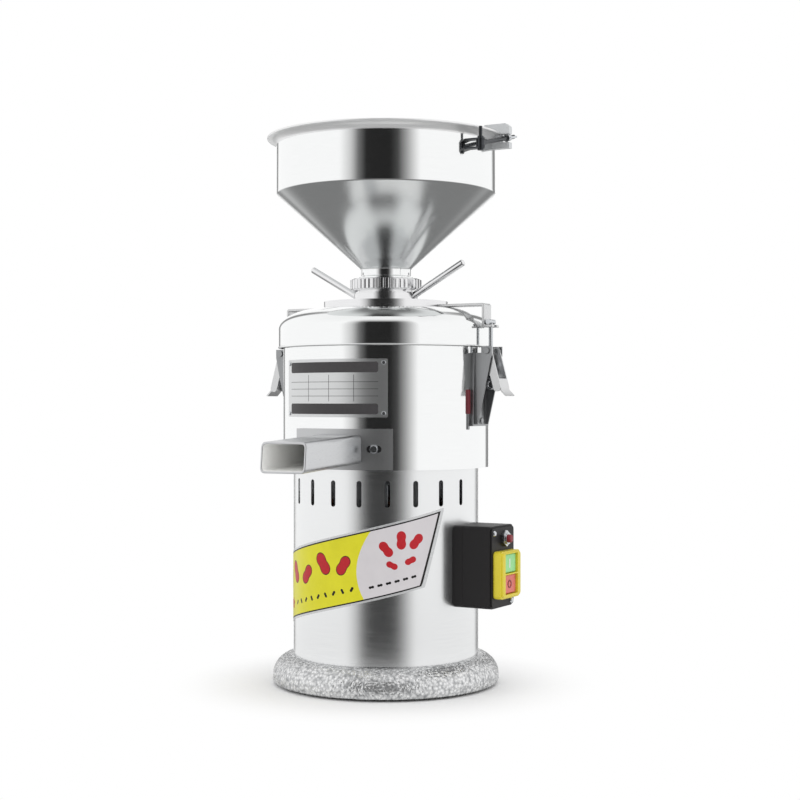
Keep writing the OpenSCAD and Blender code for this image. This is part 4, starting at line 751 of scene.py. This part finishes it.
PLATE_CORNER = 1.5
outline = strip(PLATE_PHI0, PLATE_PHI1, PLATE_Z0, PLATE_Z1, PLATE_CORNER)
piece("nameplate_sheet", [sheet_between(*outline, 2, PLATE_R0, PLATE_R1)], "root", anodised_plate,
      ["nameplate"], angle=30)
BAR_PHI0, BAR_PHI1, BAR_H, BAR_STEP, BAR_CORNER, INK = -61.5, -3.5, 12.0, 3.5, 2.5, 0.02
ROWS, ROW_HALF = (24.0, 32.0, 40.0), 0.25
COLUMNS, COLUMN_HALF, COLUMN_STEP = (-45.0, -31.0, -16.5), 0.14, 18.0
bars = [strip(BAR_PHI0, BAR_PHI1, low, low + BAR_H, BAR_CORNER)
        for low in (PLATE_Z0 + BAR_STEP, PLATE_Z1 - BAR_STEP - BAR_H)]
bars += [strip(BAR_PHI0, BAR_PHI1, PLATE_Z0 + h - ROW_HALF, PLATE_Z0 + h + ROW_HALF) for h in ROWS]
bars += [strip(u - COLUMN_HALF, u + COLUMN_HALF, PLATE_Z0 + COLUMN_STEP, PLATE_Z1 - COLUMN_STEP)
         for u in COLUMNS]
piece("nameplate_print", [sheet_between(*b, 2, PLATE_R1 - INK, PLATE_R1 + INK) for b in bars],
      "root", dark_grey_ink)

# ---- Label: silver film, a dark line inside its edge, two coloured panels, a generic motif ----

LINE_INSET, PANEL_INSET, TIP_INSET, FILM_ABOVE, INK_STEP = 2.4, 4.0, 6.0, 0.16, 0.03
GREY_TIP, GREY_LOW, GREY_HIGH, GREY_WAIST = -17.0, 4.5, 8.4, 0.45
LINE_START, PANEL_START = 1.3, 2.0


def label_edge(u, inset=0.0):
    """The label's lower and upper edges by azimuth, both moved inwards by the inset.

    The upper edge is z = top + slope u. The lower one is 83 mm below it, and over the last
    13 degrees it rises in a straight line to the tip.
    """
    high = LABEL_TOP_Z + LABEL_SLOPE * u
    turn = LABEL_PHI1 - LABEL_LEAN
    foot = LABEL_TOP_Z + LABEL_SLOPE * turn - LABEL_H
    tip = LABEL_TOP_Z + LABEL_SLOPE * LABEL_PHI1 - LABEL_TIP
    rise = foot + (tip - foot) * (u - turn) / LABEL_LEAN
    low = np.maximum(high - LABEL_H + inset, rise + TIP_INSET * inset)
    return np.minimum(low, high - inset - 0.02), high - inset


def label_end(inset):
    """The azimuth at which the label's slanted end, moved inwards, meets its upper edge."""
    climb = (LABEL_H - LABEL_TIP + LABEL_SLOPE * LABEL_LEAN) / LABEL_LEAN - LABEL_SLOPE
    return LABEL_PHI1 - LABEL_LEAN + (LABEL_H - (TIP_INSET + 1) * inset) / climb


def ink_skin(level):
    """Inner and outer radius of a print: each level is 0.03 mm further off the casing."""
    inner = LABEL_R1 - FILM_ABOVE + INK_STEP * level
    return inner, inner + INK_STEP


def band(level, u, low, high):
    """A printed area between two heights that follow the azimuth."""
    return sheet_between(u, low, high, 2, *ink_skin(level))


def blot(phi, share, size, pinch=0.0, tilt=0.0, lobes=2, level=4, count=40):
    """A printed shape whose outline is r(v) = size (1 + pinch cos(lobes v)), v once round.

    Two lobes make a peanut, five a blossom, and no pinch a disc. A point lies a part s of r
    from the middle in the direction v + tilt, and is laid on the barrel at the azimuth
    phi + s r cos(v + tilt) / R. s runs from 0 to 1 on the inner skin and back on the outer.
    """
    low, high = label_edge(np.array([phi]))
    middle = low[0] + share * (high[0] - low[0])
    v = np.linspace(0, 2 * np.pi, count, endpoint=False)[None]
    s = np.array([0, 0.35, 0.7, 1, 1, 0.7, 0.35, 0])[:, None]
    inner, outer = ink_skin(level)
    r = np.repeat([inner, outer], 4)[:, None]
    reach = s * size * (1 + pinch * np.cos(lobes * v))
    way = v + np.radians(tilt)
    a = np.radians(phi) + reach * np.cos(way) / LABEL_R1
    grid = np.stack([r * np.sin(a), -r * np.cos(a), middle + reach * np.sin(way)], -1)
    return grid.reshape(-1, 3), quads(len(s), count, False, True)


u = np.linspace(LABEL_PHI0, LABEL_PHI1, 120)
piece("label_film", [sheet_between(u, *label_edge(u), 2, LABEL_R0, ink_skin(1)[0])], "root",
      silver_film, ["label"], angle=30)
u = np.linspace(LABEL_PHI0 + LINE_START, label_end(LINE_INSET), 160)
piece("label_line", [band(1, u, *label_edge(u, LINE_INSET))], "root", black_ink)
u = np.linspace(LABEL_PHI0 + PANEL_START, GREY_TIP + GREY_HIGH, 120)
piece("label_yellow", [band(2, u, *label_edge(u, PANEL_INSET))], "root", yellow_ink)
# The grey panel's left edge is a curve that bulges to the left: from its tip, the two branches
# run off as the square root of the distance.
u = GREY_TIP + (label_end(PANEL_INSET) - GREY_TIP) * np.linspace(0, 1, 160) ** 2
low, high = label_edge(u, PANEL_INSET)
below, above = (np.minimum(((u - GREY_TIP) / d) ** 0.5, 1) for d in (GREY_LOW, GREY_HIGH))
foot = low + GREY_WAIST * (1 - below) * (high - low)
crown = low + (GREY_WAIST + (1 - GREY_WAIST) * above) * (high - low)
piece("label_grey", [band(3, u, foot, crown)], "root", grey_ink)
# Peanuts, and a fan of smaller ones on the grey panel. Each has an azimuth, a share of the
# label's height, a size in millimetres and a tilt in degrees.
NUTS = ((-87, 0.6, 8.6, 60), (-71, 0.66, 9.4, 118), (-55, 0.57, 8.6, 52), (-40, 0.66, 9.4, 124),
        (-25.5, 0.57, 8.2, 58))
SPROUT = ((0.5, 0.66, 7.2, 130), (9.5, 0.73, 7.6, 90), (18.5, 0.66, 7.2, 50), (4.0, 0.42, 5.0, 155),
          (15.0, 0.42, 5.0, 25))
WAIST, SHADOW = 0.38, 0.9
BLOSSOM = {"phi": -79, "share": 0.24, "size": 6.0, "pinch": 0.2, "tilt": 18, "lobes": 5}
SEEDS, SEED_SHARE, SEED_SIZE = range(-68, -16, 6), 0.22, 2.2
TICKS, TICK_SHARE, TICK_SIZE = range(-8, 20, 5), 0.19, 2.1
piece("label_shadow", [blot(phi, share, size + SHADOW, WAIST - 0.03, tilt, level=3)
                       for phi, share, size, tilt in NUTS], "root", black_ink)
red_nuts = [blot(phi, share, size, WAIST, tilt) for phi, share, size, tilt in NUTS + SPROUT]
piece("label_nuts", [*red_nuts, blot(**BLOSSOM)], "root", red_ink)
piece("label_seeds", [blot(phi, SEED_SHARE, SEED_SIZE, 0.4, 60 + 60 * (i % 2))
                      for i, phi in enumerate(SEEDS)], "root", black_ink)
piece("label_ticks", [blot(phi, TICK_SHARE, TICK_SIZE, 0.5, 15) for phi in TICKS], "root",
      black_ink)

# ---- Latch strips: a thin steel bar with a red sleeve, beside each latch ----

STRIP_Y, STRIP_W, STRIP_Z0, STRIP_Z1, STRIP_CORNER = -24.5, 4.0, 303.0, 350.5, 0.8
SLEEVE_Z0, SLEEVE_Z1, SLEEVE_PROUD, LATCH_PHI = 321.0, 349.0, 0.5, 62.0
# Both start inside the drum's wall and end this far outside it.
STRIP_BACK, STRIP_OUT, SLEEVE_OUT = 2.6, 1.3, 2.0
strip_bars, sleeves = [], []
for side in (0, 180):
    for made, z0, z1, grow, out in ((strip_bars, STRIP_Z0, STRIP_Z1, 0.0, STRIP_OUT),
                                    (sleeves, SLEEVE_Z0, SLEEVE_Z1, SLEEVE_PROUD, SLEEVE_OUT)):
        path = [(-STRIP_BACK, 0), (out - 0.3, 0), (out, 0.3)]
        points, faces = tower(STRIP_W + 2 * grow, z1 - z0, STRIP_CORNER, path)
        points = points + (np.sqrt(DRUM_R**2 - STRIP_Y**2), STRIP_Y, (z0 + z1) / 2)
        made.append((at_azimuth(points, LATCH_PHI + side), faces))
piece("latch_bars", strip_bars + [(p, f, strip_red) for p, f in sleeves], "root", latch_steel,
      ["latch_strips"], angle=35)

# ---- Buttons: dished caps with the off and on signs ----

BUTTON_SUNK, BUTTON_ROOT, BUTTON_CORNER = 2.5, 11.0, 1.5
STEM_W, STEM_H, STEM_CORNER = BUTTON_W - 8, BUTTON_H - 6, 1.0
# A cap's round edge and its dish: how far each row lies behind the face, and its inset.
DISH = ((1.4, 0), (0.5, 0.35), (0.1, 1.0), (0, 1.9), (0.35, 4.2), (0.55, 7), (0.6, 9))
face_x, root_x = SWITCH_FRONT + BEZEL_D - BUTTON_SUNK, SWITCH_FRONT - BUTTON_ROOT
cap_path = [(root_x, 0), *((face_x - behind, inset) for behind, inset in DISH)]
stem_path = [(root_x - 3, 0), (root_x + 0.5, 0)]
towers = (tower(BUTTON_W, BUTTON_H, BUTTON_CORNER, cap_path),
          tower(STEM_W, STEM_H, STEM_CORNER, stem_path))
for node, z, made in (("start_button", START_Z, green_abs), ("stop_button", STOP_Z, red_abs)):
    parts = [(at_azimuth(points + (0, 0, z), SWITCH_PHI), faces) for points, faces in towers]
    piece(node + "_cap", parts, node, made, [node], angle=35)
# The signs stand up to 0.5 mm out of the dish: a dark ring for off, a white bar for on.
OFF_R0, OFF_R1, SIGN_T, ON_W, ON_H, ON_CORNER, ON_INSET = 3.3, 4.7, 0.6, 2.0, 10.5, 0.3, 0.08
# How far the ring, and the bar's root, shoulder and top, lie behind the cap's face.
OFF_BEHIND, ON_ROOT, ON_SHOULDER, ON_TOP = 0.68, 0.7, 0.2, 0.12
section = [[OFF_R0, 0], [OFF_R1, 0], [OFF_R1, SIGN_T], [OFF_R0, SIGN_T]]
ring, faces = turned(rounded(section, 0.1), 48)
ring = at_azimuth(along_x(ring) + (face_x - OFF_BEHIND, 0, STOP_Z), SWITCH_PHI)
piece("sign_off", [(ring, faces)], "stop_button", dark_red)
path = [(face_x - ON_ROOT, 0), (face_x - ON_SHOULDER, 0), (face_x - ON_TOP, ON_INSET)]
bar, faces = tower(ON_W, ON_H, ON_CORNER, path)
bar = at_azimuth(bar + (0, 0, START_Z), SWITCH_PHI)
piece("sign_on", [(bar, faces)], "start_button", white_ink)

# ---- Floor, light and camera ----


def ray_kinds(tree):
    """Whether a ray comes from the camera, and whether it is mirrored or goes through glass."""
    rays = add(tree, "ShaderNodeLightPath").outputs
    mirrored = add(tree, "ShaderNodeMath", {"operation": "MAXIMUM"}, _0=rays["Is Glossy Ray"],
                   _1=rays["Is Transmission Ray"]).outputs[0]
    return rays["Is Camera Ray"], mirrored


def grey(level):
    """A grey of a given brightness, in linear light."""
    return level, level, level, 1.0


# A disc of white paper catches the shadow. Towards its rim it glows as bright as the backdrop,
# so no edge shows. All lengths are in metres from here on.
FLOOR_R, FADE_START, FADE_END = 0.28, 0.14, 0.26
floor_mesh = bpy.data.meshes.new("floor")
a = np.linspace(0, 2 * np.pi, 96, endpoint=False)
rim = FLOOR_R * np.stack([np.cos(a), np.sin(a), 0 * a], 1)
floor_mesh.from_pydata(rim.tolist(), [], [list(range(96))])
floor = bpy.data.objects.new("floor", floor_mesh)
bpy.context.scene.collection.objects.link(floor)

paper = bpy.data.materials.new("white seamless paper")
paper.use_nodes = True
tree = paper.node_tree
tree.nodes.clear()
place = add(tree, "ShaderNodeTexCoord").outputs["Object"]
away = add(tree, "ShaderNodeVectorMath", {"operation": "LENGTH"}, Vector=place).outputs["Value"]
fade = add(tree, "ShaderNodeMapRange", SMOOTH, Value=away, From_Min=FADE_START, From_Max=FADE_END,
           To_Min=0.0, To_Max=1.0).outputs[0]
direct, mirrored = ray_kinds(tree)
seen = add(tree, "ShaderNodeMath", {"operation": "MAXIMUM"}, _0=direct, _1=mirrored).outputs[0]
bright = add(tree, "ShaderNodeMath", {"operation": "MULTIPLY"}, _0=fade, _1=seen).outputs[0]
grain = add(tree, "ShaderNodeTexNoise", Vector=place, Scale=400.0, Detail=2.0).outputs["Fac"]
tone = add(tree, "ShaderNodeMix", COLOURS, _0=grain, _6=linear("#f8f8f8"),
           _7=linear("#fcfcfc")).outputs[2]
matt = add(tree, "ShaderNodeBsdfDiffuse", Color=tone)
glow = add(tree, "ShaderNodeEmission", Color=(1, 1, 1, 1), Strength=1.0)
mixed = add(tree, "ShaderNodeMixShader", _0=bright, _1=matt.outputs[0], _2=glow.outputs[0])
add(tree, "ShaderNodeOutputMaterial", Surface=mixed.outputs[0])
floor_mesh.materials.append(paper)

# The studio has white walls. A black panel stands behind the camera, a little to its left: the
# metal shows it as the dark band down its middle. Two narrow grey flags beside the backdrop draw
# the metal's outline, and below the paper lies a grey table, which the hopper's cone shows.
# Each wall stop is an azimuth from the front in degrees and a brightness.
WALLS = ((-180, 1), (-166, 1), (-163, 0.24), (-157, 0.24), (-152, 1), (-48, 1), (-36, 0.62),
         (-28, 0.16), (-20, 0.016), (5, 0.014), (13, 0.06), (22, 0.36), (36, 1), (146, 1),
         (152, 0.24), (163, 0.24), (166, 1), (180, 1))
WALL_LIGHT, PLAIN_LIGHT = 1.06, 0.95
# The ceiling and the table take over from the walls between two heights of a ray's direction,
# where 1 is straight up. Each is a start, an end and a brightness.
CEILING, TABLE = (0.5, 0.95, 1.0), (-0.06, -0.55, 0.25)
world = bpy.data.worlds.new("studio")
bpy.context.scene.world = world
world.use_nodes = True
tree = world.node_tree
tree.nodes.clear()
way = add(tree, "ShaderNodeTexCoord").outputs["Generated"]
axes = add(tree, "ShaderNodeSeparateXYZ", Vector=way).outputs
front = add(tree, "ShaderNodeMath", {"operation": "MULTIPLY"}, _0=axes["Y"], _1=-1.0).outputs[0]
side = add(tree, "ShaderNodeMath", {"operation": "ARCTAN2"}, _0=axes["X"], _1=front).outputs[0]
around = add(tree, "ShaderNodeMapRange", Value=side, From_Min=-float(np.pi), From_Max=float(np.pi),
             To_Min=0.0, To_Max=1.0).outputs[0]
walls = add(tree, "ShaderNodeValToRGB", Fac=around)
ramp = walls.color_ramp
while len(ramp.elements) < len(WALLS):
    ramp.elements.new(0.5)
for element, (degrees, level) in zip(ramp.elements, WALLS):
    element.position, element.color = (degrees + 180) / 360, grey(level)
room = add(tree, "ShaderNodeVectorMath", {"operation": "SCALE"}, _0=walls.outputs[0],
           Scale=WALL_LIGHT).outputs[0]
for start, end, level in (CEILING, TABLE):
    share = add(tree, "ShaderNodeMapRange", SMOOTH, Value=axes["Z"], From_Min=start, From_Max=end,
                To_Min=0.0, To_Max=1.0).outputs[0]
    room = add(tree, "ShaderNodeMix", COLOURS, _0=share, _6=room, _7=grey(level)).outputs[2]
# Matt surfaces are lit evenly, the metal mirrors the room, and the camera sees a white backdrop.
direct, mirrored = ray_kinds(tree)
lit = add(tree, "ShaderNodeMix", COLOURS, _0=mirrored, _6=grey(PLAIN_LIGHT), _7=room).outputs[2]
seen = add(tree, "ShaderNodeMix", COLOURS, _0=direct, _6=lit, _7=grey(1.0)).outputs[2]
back = add(tree, "ShaderNodeBackground", Color=seen, Strength=1.0)
add(tree, "ShaderNodeOutputWorld", Surface=back.outputs[0])


def lamp(name, size, power, place, target):
    """A square area lamp that faces a point, and that no metal mirrors."""
    light = bpy.data.lights.new(name, "AREA")
    light.shape, light.size, light.energy = "SQUARE", size, power
    made = bpy.data.objects.new(name, light)
    made.visible_glossy = False
    bpy.context.scene.collection.objects.link(made)
    made.location = place
    d = np.array(target, float) - place
    tilt, turn = np.arctan2(np.hypot(d[0], d[1]), -d[2]), np.arctan2(d[0], -d[1])
    made.rotation_euler = (tilt, 0, turn + np.pi)


lamp("soft_top", 1.6, 8, (0.3, -0.5, 2.4), (0, 0, 0.3))

# The camera looks level from the front, at the height of the chamber.
camera_data = bpy.data.cameras.new("camera")
camera_data.lens, camera_data.sensor_width = 69.35, 36.0
camera = bpy.data.objects.new("camera", camera_data)
bpy.context.scene.collection.objects.link(camera)
camera.location = (0.0168, -1.848, 0.337)
camera.rotation_euler = (np.pi / 2, 0, 0)
bpy.context.scene.camera = camera
bpy.context.scene.view_settings.view_transform = "Standard"

bpy.context.view_layer.update()
